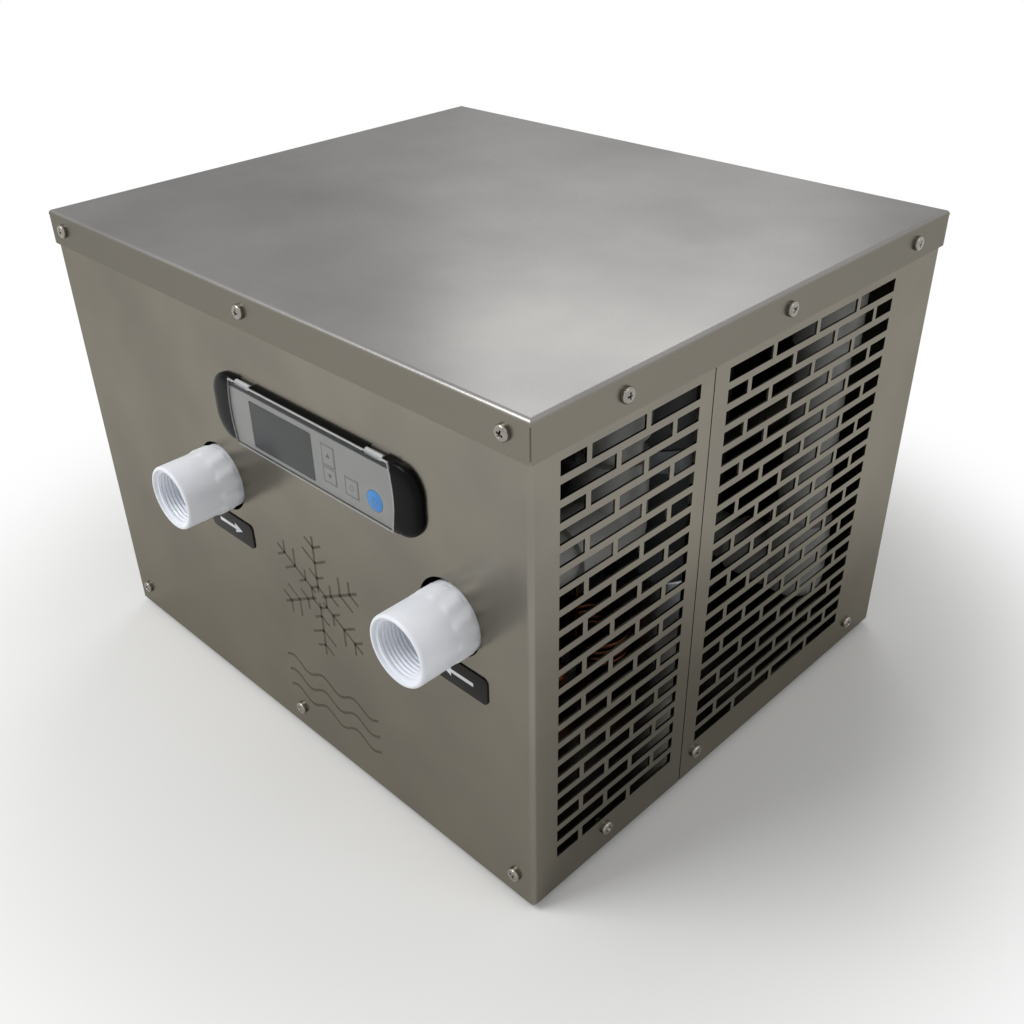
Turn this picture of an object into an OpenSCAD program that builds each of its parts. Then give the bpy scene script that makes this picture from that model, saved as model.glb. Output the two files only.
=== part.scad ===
// Water chiller in a folded stainless steel case.
// X runs along the front, Y goes from front to back and Z is up.
// The origin is under the middle of the whole object, on the floor.

/* [Casing] */
// Width over the lid
case_w = 430; // [424:1:460]
// Depth over the lid
case_d = 368; // [364:1:400]
// Height from the underside of the pan to the top of the lid
case_h = 310; // [306:1:340]
// Thickness of the stainless sheet
sheet_t = 1.2; // [0.8:0.1:1.6]
// Clearance between one folded sheet and the next
sheet_gap = 0.1; // [0.05:0.05:0.2]
// Outside radius of the folds
bend_r = 2.6; // [2:0.1:3.4]
// Height of the lid's turned-down flange
lid_flange = 22; // [18:0.5:23]
// Height of the pan's turned-up flange
pan_flange = 21.5; // [20.5:0.5:23]
// Depth of the front wrap's side wings
front_wing_d = 132.9; // [131:0.1:140]
// Open seam between the front and rear wraps
seam_gap = 0.8; // [0.4:0.1:1.2]
// Width of the lap strip behind the seam
lap_w = 22; // [16:1:24]

/* [Grille] */
// Length of a full slot
slot_l = 39; // [30:0.1:40]
// Height of a slot
slot_h = 8.2; // [5:0.1:9]
// Steel left between two slots of a row
slot_bridge = 3.5; // [3:0.1:8]
// Distance between two rows
row_pitch = 12.44; // [11:0.02:15]
// From the front face to the front grille
front_grille_y = 19.1; // [14:0.1:22]
// From the seam to the rear grille
rear_grille_inset = 12.5; // [12:0.1:20]
// Least steel behind the rear grille
rear_grille_margin = 44; // [36:1:52]
// From the top of the lid to the first row's middle
grille_top = 32; // [30:0.1:36]
// Least height of the last row's middle above the pan's underside
grille_bottom = 25; // [22:0.1:32]

/* [Screws and feet] */
// Radius of a case screw's thread
screw_r = 2; // [1.5:0.1:2.2]
// Radius of a case screw's pan head
screw_head_r = 4.3; // [3.4:0.1:5]
// Height of a case screw's head
screw_head_h = 2.6; // [2:0.1:3.2]
// Length of a case screw under its head
screw_len = 7; // [5:0.5:9]
// Clearance round a screw or a stem in its hole
hole_gap = 0.15; // [0.1:0.05:0.3]
// From the case's side to the corner screws of the front and rear
corner_screw_x = 16; // [13:0.5:20]
// From the case's back to the last screws of the sides
rear_screw_y = 35.8; // [24:0.2:42]
// Height of the lower screws above the pan's underside
low_screw_z = 15.5; // [12:0.5:16]
// Height of a rubber foot
foot_h = 5; // [3:0.5:12]
// Radius of a rubber foot
foot_r = 13; // [10:0.5:18]
// From the case's sides to the middle of a foot
foot_inset = 34; // [26:1:50]

/* [Water fittings] */
// Radius of a threaded fitting
fitting_r = 20.6; // [20.4:0.05:21.4]
// Reach of a fitting in front of the panel
fitting_reach = 37.5; // [32:0.5:44]
// Whole length of a fitting
fitting_len = 74; // [70:0.5:84]
// Radius of the wall that carries the thread
thread_r = 16; // [15:0.05:16.6]
// Length of the threaded wall
thread_len = 26; // [20:0.5:30]
// Outside radius of the water pipe
pipe_r = 16.7; // [15:0.05:17.2]
// Wall of the water pipe
pipe_wall = 3.4; // [2.4:0.1:4]
// Radial clearance of a pipe in its socket
pipe_gap = 0.1; // [0.05:0.05:0.2]
// Depth of a pipe socket
socket_d = 28; // [22:0.5:29]
// Outside radius of an elbow's socket
elbow_r = 20.8; // [20.4:0.1:22]
// From an elbow's middle to the face of its socket
elbow_reach = 46; // [44:0.5:47]
// Radius of a fitting's hole in the front panel
port_hole_r = 23; // [22.8:0.1:25]
// Middle of the inlet hole from the case's middle
inlet_x = -52; // [-60:0.5:-50]
// Middle of the outlet hole from the case's middle
outlet_x = 155.6; // [150:0.2:160]
// From the top of the lid down to the middle of both holes
port_drop = 134.7; // [130:0.1:138]
// Outlet fitting's offset to the right in its hole
outlet_shift = 1.5; // [0:0.1:1.9]
// Inlet fitting's offset to the right in its hole
inlet_shift = 0; // [0:0.1:1.9]
// Width of a port's label plate
label_w = 47; // [36:0.5:54]
// Height of a port's label plate
label_h = 17.5; // [12:0.5:22]
// From the middle of a hole down to the middle of its label
label_drop = 35.4; // [34:0.2:44]

/* [Controller] */
// Width of the bezel
bezel_w = 181.5; // [172:0.5:190]
// Height of the bezel
bezel_h = 42; // [41.5:0.5:46]
// Depth of the bezel at its middle
bezel_d = 6.2; // [6:0.1:6.8]
// How far the bezel's ends fall back from its middle
bezel_sag = 2.2; // [1:0.1:2.6]
// Corner radius of the bezel
bezel_corner = 15.5; // [10:0.5:17]
// Middle of the controller from the case's middle
ctrl_x = 51; // [46:0.5:54]
// From the top of the lid down to the controller's middle
ctrl_drop = 76; // [72:0.2:78]
// Width of the housing behind the panel
housing_w = 147; // [140:0.5:149]
// Height of the housing behind the panel
housing_h = 33.8; // [33.6:0.2:34.4]
// Depth of the housing behind the panel
housing_d = 54; // [44:1:54]
// Width of the grey face at its widest
face_w = 145.5; // [140:0.5:150]
// Width of the display window
display_w = 57; // [50:0.5:58]
// Height of the display window
display_h = 29.5; // [26:0.5:30.5]
// Side of a square key
key_w = 10.8; // [9:0.2:11.2]
// Radius of the round key
round_key_r = 6.2; // [5:0.1:7]
// Travel of a key
key_travel = 0.3; // [0.2:0.1:0.5]
// Thickness of the clear cover
cover_t = 1.2; // [1:0.1:1.2]
// Depth of the closed cover's front in front of the panel
cover_front = 4.9; // [4.9:0.1:5.3]
// Radius of the cover's hinge pins
hinge_pin_r = 0.6; // [0.5:0.05:0.65]
// Running clearance of the hinge pins
hinge_gap = 0.05; // [0.03:0.01:0.1]

/* [Refrigeration] */
// Radius of the compressor's can
comp_r = 55; // [45:0.5:56]
// Height of the compressor's can
comp_h = 186; // [150:1:190]
// Radius of the suction accumulator
accu_r = 23; // [18:0.5:26]
// Height of the suction accumulator
accu_h = 120; // [90:1:140]
// Radius of the heat exchanger's barrel
barrel_r = 55; // [50:0.5:56]
// Free height over the heat exchanger's barrel
barrel_headroom = 45.6; // [42:0.2:68]
// Wall of the barrel and its caps
barrel_wall = 4; // [3:0.5:5]
// Depth of the condenser's fins
fin_depth = 38; // [30:1:42]
// Number of condenser fins
fin_count = 36; // [20:1:60]
// Thickness of a condenser fin
fin_t = 0.5; // [0.3:0.1:0.8]
// Radius of the condenser's and discharge tube
gas_tube_r = 4.75; // [4:0.05:5]
// Radius of the liquid tube
liquid_tube_r = 3.2; // [2.4:0.1:4]
// Radius of the filter drier
drier_r = 12; // [9:0.5:13]
// Length of the filter drier
drier_len = 92; // [70:1:110]

/* [Fan] */
// Radius of the fan
fan_r = 104; // [80:1:108]
// Number of fan blades
blade_count = 5; // [3:1:7]
// Pitch angle of a blade
blade_pitch = 26; // [18:1:30]
// Radius of the fan's hub
hub_r = 29; // [22:0.5:34]
// Radius of the fan's shaft
shaft_r = 4; // [3:0.1:5]
// Running clearance of the shaft in the motor
shaft_gap = 0.05; // [0.02:0.01:0.1]
// Radius of the fan motor
motor_r = 38; // [30:0.5:40]
// Length of the fan motor
motor_len = 40; // [30:1:44]

/* [Hidden] */
$fn = 64;

// Overrun of every cut, and the swelling of a tube at its bends
over = 1;
bend_swell = 0.08;

// Places of the casing, from the front panel's outside face and the floor
fold_out = sheet_t + sheet_gap;
wrap_w = case_w - 2 * fold_out;
wrap_d = case_d - 2 * fold_out;
inner_w = wrap_w - 2 * sheet_t;
pan_z = foot_h;
floor_z = pan_z + sheet_t;
top_z = foot_h + case_h;
wrap_top = top_z - bend_r;
wrap_h = wrap_top - pan_z;
roof_z = top_z - sheet_t;
back_y = wrap_d;
inner_back_y = back_y - sheet_t;
lid_slit = 0.7;
slit_top = bend_r + sheet_t / 2;
lap_clear = 2;
lap_h = top_z - lid_flange - pan_z - pan_flange - 2 * lap_clear;

// The object's whole depth, and where the front face lies in it
gland_reach = 24;
y_front = (fitting_reach - gland_reach - wrap_d) / 2;

// Screw places
high_screw_z = top_z - lid_flange / 2;
base_screw_z = pan_z + low_screw_z;
side_screw_front = 0.463 * front_wing_d;
side_screw_back = back_y - rear_screw_y;
side_screw_mid = (side_screw_front + side_screw_back) / 2;
low_screw_mid = front_wing_d + seam_gap + rear_grille_inset + screw_r;
face_screw_x = case_w / 2 - corner_screw_x;

// Grille pattern
slot_pitch = slot_l + slot_bridge;
least_slot = slot_bridge / 2;
grille_rows = floor((case_h - grille_top - grille_bottom) / row_pitch) + 1;
front_grille_margin = 9;
rear_grille_y = front_wing_d + seam_gap + rear_grille_inset;
front_halves = floor((front_wing_d - front_grille_margin - front_grille_y + slot_bridge) * 2 / slot_pitch);
rear_halves = floor((back_y - rear_grille_margin - rear_grille_y + slot_bridge) * 2 / slot_pitch);
first_row_z = top_z - grille_top;

// Feet
foot_stem_r = 4;
foot_stem_h = sheet_t + 2.5;
foot_barb_r = foot_stem_r + 0.6;
foot_barb_h = 1.6;

// Fittings and pipework
port_height = top_z - port_drop;
pipe_bore_r = pipe_r - pipe_wall;
socket_r = pipe_r + pipe_gap;
outlet_pipe_x = outlet_x + outlet_shift;
inlet_pipe_x = inlet_x + inlet_shift;
fitting_neck_r = 20.2;
fitting_band = 13;
fitting_band_y = -14;
fitting_flats = 12;
fitting_flat_r = fitting_r + 0.9;
riser_y = 125;
down_x = 180;
barrel_x = 50;
barrel_cap_r = barrel_r + barrel_wall + pipe_gap;
barrel_y = inner_back_y - barrel_cap_r - 1.6;
top_run_z = roof_z - elbow_r - 7;
low_port_z = floor_z + 60;
top_run_angle = atan2(down_x - outlet_pipe_x, barrel_y - riser_y);
label_t = 0.8;
label_corner = 3.5;
label_shift = 2;

// Barrel
cap_h = 38;
cap_end_t = 6;
barrel_low = floor_z;
barrel_top = roof_z - barrel_headroom;
barrel_h = barrel_top - barrel_low;
port_boss_r = 19.6;
strap_w = 18;
strap_t = 1.5;
strap_z = floor_z + 118;
strap_gap = 0.1;
coil_turns = 8;
coil_pitch = 15;
coil_r = 34;
coil_tube_r = 4.5;
coil_low = barrel_low + cap_h + 16;
coil_steps = 24;
coil_sides = 6;
coil_tail_x = 12;
tail_rise = 8;

// Controller
ctrl_height = top_z - ctrl_drop;
bezel_base = 1.8;
face_arc_sag = 2.8;
face_arc_r = (bezel_h * bezel_h / 4 + face_arc_sag * face_arc_sag) / (2 * face_arc_sag);
bow_steps = 12;
bow_span = bezel_w + 2 * over;
bow_front = [for (i = [0:bow_steps]) let (x = (i / bow_steps - 1 / 2) * bow_span)
    [x, 4 * bezel_sag * x * x / (bezel_w * bezel_w) - bezel_d]];
face_t = 1.2;
face_gap = 0.1;
rail_h = 5.3;
rail_d = cover_front - cover_t - 0.6;
rim_h = 0.8;
swing_w = face_w - 3.4;
face_h = bezel_h - rail_h - rim_h - 0.6;
face_z = (rim_h - rail_h) / 2;
display_share = -0.1667;
display_x = display_share * housing_w;
display_z = -2.8;
display_corner = 1;
window_proud = 0.15;
cover_gap = 0.35;
cover_h = bezel_h - 0.4;
cover_back = cover_front - cover_t;
hinge_y = -2;
hinge_z = bezel_h / 2 - 1;
knuckle_r = hinge_pin_r + 0.8;
knuckle_w = 13.5;
knuckle_x = 57.5;
pin_len = knuckle_w + 5;
key_gap = 0.25;
key_proud = 0.2;
key_head_d = 1.5;
key_shares = [0.1235, 0.249, 0.3755];
key_low_z = -8.5;
key_high_z = 3.7;
up_key_place = [key_shares[0] * housing_w, key_high_z];
down_key_place = [key_shares[0] * housing_w, key_low_z];
set_key_place = [key_shares[1] * housing_w, key_low_z];
power_key_place = [key_shares[2] * housing_w, key_low_z];
key_high_h = 12.6;
key_low_h = 9.8;
set_key_h = 11;
housing_wall = 1.8;
housing_gap = 0.4;
board_t = 1.6;
board_y = 12;
clamp_w = 14;
clamp_t = 1.5;
clamp_d = 22;

// Compressor
comp_x = 28;
comp_y = 120;
comp_corner = 24;
grommet_r = 12;
grommet_h = 12;
stud_r = 4;
stud_nut_r = 7;
stud_nut_h = 6;
feet_t = 3;
feet_circle = 72;
feet_pad_r = 15;
comp_low = floor_z + grommet_h + feet_t;
comp_top = comp_low + comp_h;
feet_angles = [30, 150, 270];
cover_box_r = 17;
cover_box_h = 22;
cover_box_y = 26;
accu_angle = 62;
accu_dist = comp_r + accu_r + 6;
accu_x = comp_x + accu_dist * cos(accu_angle);
accu_y = comp_y + accu_dist * sin(accu_angle);
accu_low = comp_low + 34;
accu_top = accu_low + accu_h;
accu_corner = 9;
accu_bracket_w = 16;
accu_bracket_h = 30;
accu_tube_r = 5.5;

// Condenser and fan, clear of the side screws' tips
screw_tip_gap = 1;
cond_x = screw_tip_gap + screw_len - wrap_w / 2;
cond_front = 46;
cond_back = back_y - 40;
cond_low = floor_z;
cond_top = roof_z - 16;
plate_t = 1.5;
plate_lip = 4;
cond_passes = 8;
pass_low = cond_low + 34;
pass_high = cond_top - 22;
pass_pitch = (pass_high - pass_low) / (cond_passes - 1);
pass_x = cond_x + fin_depth / 2;
tube_gap = 0.1;
stub_len = 10;
shroud_x = cond_x + fin_depth + 2;
shroud_t = 1.2;
collar_gap = 5;
collar_len = 26;
fan_y = (cond_front + cond_back) / 2;
fan_z = (cond_low + cond_top) / 2;
rotor_x = shroud_x + 4;
rotor_w = 24;
blade_t = 1.6;
blade_chord = 46;
hub_wall = 2.4;
hub_boss_r = 9;
motor_x = rotor_x + rotor_w + 8;
shaft_in_motor = 24;
shaft_len = motor_x + shaft_in_motor - rotor_x;
arm_w = 14;
arm_t = 2;
arm_reach = fan_r + 16;

// Refrigerant pipes
front_run_y = 20;
discharge_z = roof_z - 24;
discharge_gap = 9;
liquid_z = floor_z + 24;
drier_x = comp_x + comp_r + drier_r + 12;
drier_front = 52;
drier_neck = 7;
drier_back = drier_front + drier_len;
capillary_r = 1.5;
capillary_loop_r = 22;
capillary_turns = 4;
capillary_pitch = 5;
capillary_y = drier_back + capillary_loop_r + 10;
capillary_low = liquid_z;
suction_z = barrel_top + 22;

// Electrics
capacitor_r = 20;
capacitor_h = 84;
capacitor_x = 134;
capacitor_y = 214;
clip_t = 1.2;
clip_h = 16;
block_w = 62;
block_d = 24;
block_h = 22;
block_x = -96;
block_y = back_y - 58;
gland_x = -96;
gland_z = pan_z + 62;
gland_r = 9.2;
gland_bore_r = 5;
gland_flange_r = 13;
gland_flange_t = 5;
gland_nut_r = 12.4;
gland_inside = 10;
gland_lock_t = 5;
wire_r = 2.6;
probe_r = 3;
probe_len = 46;
probe_out = 12;
probe_x = -30;
probe_y = -20;
sensor_wire_r = 1.6;

// Puts a piece that is drawn from the front panel's middle into the object's own frame
module placed() {
    translate([0, y_front, 0]) children();
}

// Flat shapes
module rounded_rect(w, h, r) {
    square([w - 2 * r, h], center = true);
    square([w, h - 2 * r], center = true);
    for (sx = [-1, 1], sy = [-1, 1])
        translate([sx * (w / 2 - r), sy * (h / 2 - r)]) circle(r);
}

// Straight round bar or tube between two points
module rod(a, b, r) {
    v = b - a;
    translate(a)
        rotate([0, acos(v[2] / norm(v)), atan2(v[1], v[0])])
            cylinder(r = r, h = norm(v));
}

// Bent round bar through a list of points, with ball corners
module bent_rod(points, r) {
    for (i = [0:len(points) - 2]) rod(points[i], points[i + 1], r);
    for (i = [1:1:len(points) - 2]) translate(points[i]) sphere(r + bend_swell);
}

// Round tube swept along a list of points as one skin
function unit(v) = v / norm(v);
function way(p, i) = unit(p[min(i + 1, len(p) - 1)] - p[max(i - 1, 0)]);
function carried(n, t) = unit(n - (n * t) * t);
function side_ways(p, n, i = 0, done = []) =
    i == len(p) ? done
    : side_ways(p, carried(n, way(p, i)), i + 1, concat(done, [carried(n, way(p, i))]));
module swept_tube(path, r, sides, start_side) {
    side = side_ways(path, start_side);
    last = len(path) - 1;
    points = [for (i = [0:last], j = [0:sides - 1])
        let (a = 360 * j / sides, t = way(path, i))
        path[i] + r * (cos(a) * side[i] + sin(a) * cross(t, side[i]))];
    walls = [for (i = [0:last - 1], j = [0:sides - 1])
        let (k = (j + 1) % sides, a = i * sides, b = a + sides)
        each [[a + j, b + k, a + k], [a + j, b + j, b + k]]];
    start_cap = [for (j = [1:sides - 2]) [0, j, j + 1]];
    end_cap = [for (j = [1:sides - 2]) [last * sides, last * sides + j + 1, last * sides + j]];
    polyhedron(points, concat(walls, start_cap, end_cap));
}

// Every place of a case screw, with Z pointing out of the case
module at_screws(out) {
    for (z = [high_screw_z, base_screw_z], x = [-face_screw_x, 0, face_screw_x]) {
        lid = z == high_screw_z ? fold_out : 0;
        translate([x, -lid - out, z]) rotate([90, 0, 0]) children();
        translate([x, back_y + lid + out, z]) rotate([-90, 0, 0]) children();
    }
    for (s = [-1, 1]) {
        for (y = [side_screw_front, side_screw_mid, side_screw_back])
            translate([s * (case_w / 2 + out), y, high_screw_z]) rotate([0, s * 90, 0]) children();
        for (y = [side_screw_front, low_screw_mid, side_screw_back])
            translate([s * (wrap_w / 2 + out), y, base_screw_z]) rotate([0, s * 90, 0]) children();
    }
}

module screw_holes() {
    at_screws(over) {
        translate([0, 0, -screw_len - over]) cylinder(r = screw_r + hole_gap, h = screw_len + 2 * over);
    }
}

// Casing
module base_pan() {
    pan_w = inner_w - 2 * sheet_gap;
    pan_d = wrap_d - 2 * (sheet_t + sheet_gap);
    corner = bend_r - sheet_t;
    color("silver") placed() difference() {
        translate([0, wrap_d / 2, pan_z])
            linear_extrude(pan_flange) rounded_rect(pan_w, pan_d, corner);
        translate([0, wrap_d / 2, floor_z])
            linear_extrude(pan_flange) rounded_rect(pan_w - 2 * sheet_t, pan_d - 2 * sheet_t, corner / 2);
        screw_holes();
        at_feet() translate([0, 0, -over]) cylinder(r = foot_stem_r + hole_gap, h = sheet_t + 2 * over);
    }
}

module wrap_ring() {
    translate([0, wrap_d / 2]) difference() {
        rounded_rect(wrap_w, wrap_d, bend_r);
        rounded_rect(inner_w, wrap_d - 2 * sheet_t, bend_r - sheet_t);
    }
}

// Brick pattern of slots that cuts through both side walls
module slots(start_y, halves, shift_first) {
    grille_len = halves * slot_pitch / 2 - slot_bridge;
    for (row = [0:grille_rows - 1], k = [0:ceil(halves / 2)]) {
        shift = (row % 2 == 0) == shift_first ? slot_pitch / 2 : 0;
        a = max(0, k * slot_pitch - shift);
        b = min(grille_len, k * slot_pitch - shift + slot_l);
        if (b - a > least_slot)
            translate([-case_w / 2, start_y + a, first_row_z - row * row_pitch - slot_h / 2])
                cube([case_w, b - a, slot_h]);
    }
}

module front_wrap() {
    color("silver") placed() difference() {
        union() {
            translate([0, 0, pan_z]) linear_extrude(wrap_h) intersection() {
                wrap_ring();
                translate([-case_w / 2, -over]) square([case_w, front_wing_d + over]);
            }
            for (s = [-1, 1]) translate([0, front_wing_d, (pan_z + pan_flange + top_z - lid_flange) / 2]) {
                translate([s * (inner_w - sheet_t) / 2, 0, 0])
                    cube([sheet_t, lap_w, lap_h], center = true);
                translate([s * inner_w / 2, -lap_w / 4 - seam_gap, 0])
                    cube([sheet_t, lap_w / 2, lap_h], center = true);
            }
        }
        slots(front_grille_y, front_halves, true);
        screw_holes();
        for (x = [inlet_x, outlet_x])
            translate([x, -over, port_height]) rotate([-90, 0, 0])
                cylinder(r = port_hole_r, h = sheet_t + 2 * over);
        translate([ctrl_x, 0, ctrl_height])
            cube([housing_w + 2 * housing_gap, 2 * (sheet_t + over), housing_h + 2 * housing_gap],
                center = true);
    }
}

module rear_wrap() {
    color("silver") placed() difference() {
        translate([0, 0, pan_z]) linear_extrude(wrap_h) intersection() {
            wrap_ring();
            translate([-case_w / 2, front_wing_d + seam_gap]) square([case_w, case_d]);
        }
        slots(rear_grille_y, rear_halves, false);
        screw_holes();
        translate([gland_x, back_y + over, gland_z]) rotate([90, 0, 0])
            cylinder(r = gland_r + hole_gap, h = sheet_t + 2 * over);
    }
}

module lid_block(w, d, h, r) {
    intersection() {
        rotate([90, 0, 0]) linear_extrude(2 * d, center = true) lid_section(w, h, r);
        rotate([90, 0, 90]) linear_extrude(2 * w, center = true) lid_section(d, h, r);
    }
}

module lid_section(w, h, r) {
    translate([-w / 2, -h]) square([w, h - r]);
    translate([-w / 2 + r, -h]) square([w - 2 * r, h]);
    for (s = [-1, 1]) translate([s * (w / 2 - r), -r]) circle(r);
}

module top_cover() {
    color("gainsboro") placed() difference() {
        translate([0, wrap_d / 2, top_z]) difference() {
            lid_block(case_w, case_d, lid_flange, bend_r);
            translate([0, 0, -sheet_t])
                lid_block(case_w - 2 * sheet_t, case_d - 2 * sheet_t, lid_flange, bend_r - sheet_t);
            for (sx = [-1, 1], sy = [-1, 1])
                translate([sx * case_w / 2, sy * case_d / 2, -slit_top - lid_flange / 2])
                    rotate([0, 0, sx * sy * 45])
                        cube([4 * bend_r, lid_slit, lid_flange], center = true);
        }
        screw_holes();
    }
}

module case_screws() {
    color("lightgray") placed() at_screws(0) {
        translate([0, 0, -screw_len]) cylinder(r = screw_r, h = screw_len);
        rotate_extrude() intersection() {
            square([screw_head_r, screw_head_h]);
            union() {
                square([screw_head_r, screw_head_h / 2]);
                square([screw_head_r - screw_head_h / 2, screw_head_h]);
                translate([screw_head_r - screw_head_h / 2, screw_head_h / 2]) circle(screw_head_h / 2);
            }
        }
    }
}

// Middle of each foot at the pan's underside
module at_feet() {
    for (sx = [-1, 1], y = [foot_inset, wrap_d - foot_inset])
        translate([sx * (wrap_w / 2 - foot_inset), y, pan_z]) children();
}

module rubber_feet() {
    color("dimgray") placed() at_feet() {
        translate([0, 0, -foot_h]) cylinder(r = foot_r, h = foot_h);
        cylinder(r = foot_stem_r, h = foot_stem_h);
        translate([0, 0, sheet_t + hole_gap]) cylinder(r = foot_barb_r, h = foot_barb_h);
    }
}

// Threaded water fitting, drawn with its mouth towards the front
module fitting(x) {
    back = fitting_len - fitting_reach;
    color("white") placed() translate([x, 0, port_height]) rotate([-90, 0, 0]) difference() {
        union() {
            translate([0, 0, -fitting_reach]) cylinder(r = fitting_r, h = fitting_reach + sheet_t + over);
            translate([0, 0, fitting_band_y])
                cylinder(r = fitting_flat_r, h = fitting_band, $fn = fitting_flats);
            cylinder(r = fitting_neck_r, h = back);
        }
        translate([0, 0, -fitting_reach - over]) cylinder(r = thread_r, h = thread_len + over);
        translate([0, 0, -fitting_reach]) cylinder(r = pipe_bore_r, h = fitting_len + over);
        translate([0, 0, back - socket_d]) cylinder(r = socket_r, h = socket_d + over);
    }
}

module inlet_fitting() { fitting(inlet_pipe_x); }

module outlet_fitting() { fitting(outlet_pipe_x); }

// Straight water pipe between two points
module pipe(a, b) {
    v = b - a;
    color("whitesmoke") difference() {
        rod(a, b, pipe_r);
        rod(a - over * unit(v), b + over * unit(v), pipe_bore_r);
    }
}

// How far a pipe's end lies from an elbow's middle, and from the panel in a fitting
pipe_stop = elbow_reach - socket_d + pipe_gap;
fitting_stop = fitting_len - fitting_reach - socket_d + pipe_gap;
port_face = barrel_r - barrel_wall;

module inlet_pipes() {
    placed() {
        pipe([inlet_pipe_x, fitting_stop, port_height],
            [inlet_pipe_x, barrel_y - pipe_stop, port_height]);
        pipe([inlet_pipe_x + pipe_stop, barrel_y, port_height],
            [barrel_x - port_face, barrel_y, port_height]);
    }
}

// Elbow round its middle, with one socket along +Z and one along +X
module elbow() {
    bend = elbow_reach - socket_d;
    color("white") difference() {
        union() {
            cylinder(r = elbow_r, h = elbow_reach);
            rotate([0, 90, 0]) cylinder(r = elbow_r, h = elbow_reach);
            sphere(elbow_r);
        }
        cylinder(r = pipe_bore_r, h = elbow_reach + over);
        rotate([0, 90, 0]) cylinder(r = pipe_bore_r, h = elbow_reach + over);
        sphere(pipe_bore_r);
        translate([0, 0, bend]) cylinder(r = socket_r, h = socket_d + over);
        rotate([0, 90, 0]) translate([0, 0, bend]) cylinder(r = socket_r, h = socket_d + over);
    }
}

module inlet_elbow() {
    placed() translate([inlet_pipe_x, barrel_y, port_height]) rotate([90, 0, 0]) elbow();
}

module outlet_pipes() {
    run = [sin(top_run_angle), cos(top_run_angle), 0];
    riser_top = [outlet_pipe_x, riser_y, top_run_z];
    down_top = [down_x, barrel_y, top_run_z];
    placed() {
        pipe([outlet_pipe_x, fitting_stop, port_height], [outlet_pipe_x, riser_y - pipe_stop, port_height]);
        pipe([outlet_pipe_x, riser_y, port_height + pipe_stop], riser_top - [0, 0, pipe_stop]);
        pipe(riser_top + pipe_stop * run, down_top - pipe_stop * run);
        pipe([down_x, barrel_y, low_port_z + pipe_stop], down_top - [0, 0, pipe_stop]);
        pipe([barrel_x + port_face, barrel_y, low_port_z], [down_x - pipe_stop, barrel_y, low_port_z]);
    }
}

module outlet_elbows() {
    placed() {
        translate([outlet_pipe_x, riser_y, port_height]) rotate([0, 0, -90]) elbow();
        translate([outlet_pipe_x, riser_y, top_run_z])
            rotate([0, 0, 90 - top_run_angle]) rotate([0, 90, 0]) elbow();
        translate([down_x, barrel_y, top_run_z])
            rotate([0, 0, -90 - top_run_angle]) rotate([0, 90, 0]) elbow();
        translate([down_x, barrel_y, low_port_z]) rotate([0, 0, 180]) elbow();
    }
}

module label_plate(x) {
    color("black") placed() translate([x, 0, port_height - label_drop]) rotate([90, 0, 0])
        linear_extrude(label_t) rounded_rect(label_w, label_h, label_corner);
}

module inlet_label() { label_plate(inlet_pipe_x + label_shift); }

module outlet_label() { label_plate(outlet_pipe_x + label_shift); }

// Heat exchanger barrel
module at_barrel(z) {
    placed() translate([barrel_x, barrel_y, z]) children();
}

module barrel_shell() {
    color("gainsboro") placed() difference() {
        union() {
            translate([barrel_x, barrel_y, barrel_low + cap_end_t])
                cylinder(r = barrel_r, h = barrel_h - 2 * cap_end_t);
            translate([barrel_x, barrel_y, port_height]) rotate([0, -90, 0])
                cylinder(r = port_boss_r, h = barrel_r + 1);
            translate([barrel_x, barrel_y, low_port_z]) rotate([0, 90, 0])
                cylinder(r = port_boss_r, h = barrel_r + 1);
        }
        translate([barrel_x, barrel_y, barrel_low])
            cylinder(r = barrel_r - barrel_wall, h = barrel_h);
        translate([barrel_x, barrel_y, port_height]) rotate([0, -90, 0])
            cylinder(r = socket_r, h = barrel_r + barrel_wall);
        translate([barrel_x, barrel_y, low_port_z]) rotate([0, 90, 0])
            cylinder(r = socket_r, h = barrel_r + barrel_wall);
    }
}

// Cap with its flat end at Z = 0 and its mouth upwards
module barrel_cap() {
    difference() {
        cylinder(r = barrel_cap_r, h = cap_h);
        translate([0, 0, cap_end_t]) cylinder(r = barrel_r + pipe_gap, h = cap_h);
    }
}

module barrel_bottom_cap() {
    color("whitesmoke") at_barrel(barrel_low) barrel_cap();
}

module barrel_top_cap() {
    color("whitesmoke") at_barrel(barrel_top) difference() {
        mirror([0, 0, 1]) barrel_cap();
        for (s = [-1, 1]) translate([s * coil_tail_x, 0, -cap_end_t - over])
            cylinder(r = coil_tube_r + tube_gap, h = cap_end_t + 2 * over);
        translate([probe_x, probe_y, -cap_end_t - over])
            cylinder(r = probe_r + tube_gap, h = cap_end_t + 2 * over);
    }
}

// One unbroken tube: down the left tail, round the helix and back up the right tail
function helix_points(turns, pitch, r, steps) = [for (i = [0:turns * steps])
    let (a = 360 * i / steps) [r * cos(a), r * sin(a), pitch * i / steps]];

module titanium_coil() {
    rise = coil_turns * coil_pitch;
    tail_top = barrel_top - coil_low + tail_rise;
    helix = helix_points(coil_turns, coil_pitch, coil_r, coil_steps);
    path = concat(
        [[-coil_tail_x, 0, tail_top], [-coil_tail_x, 0, -coil_pitch / 2], [0, 0, -coil_pitch]],
        [[coil_r / 2, -coil_r / 4, -coil_pitch / 2]],
        helix,
        [[coil_r, coil_tube_r, rise + coil_tube_r / 2], [coil_tail_x, 0, rise + coil_pitch]],
        [[coil_tail_x, 0, tail_top]]);
    color("silver") at_barrel(coil_low) swept_tube(path, coil_tube_r, coil_sides, [1, 0, 0]);
}

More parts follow.
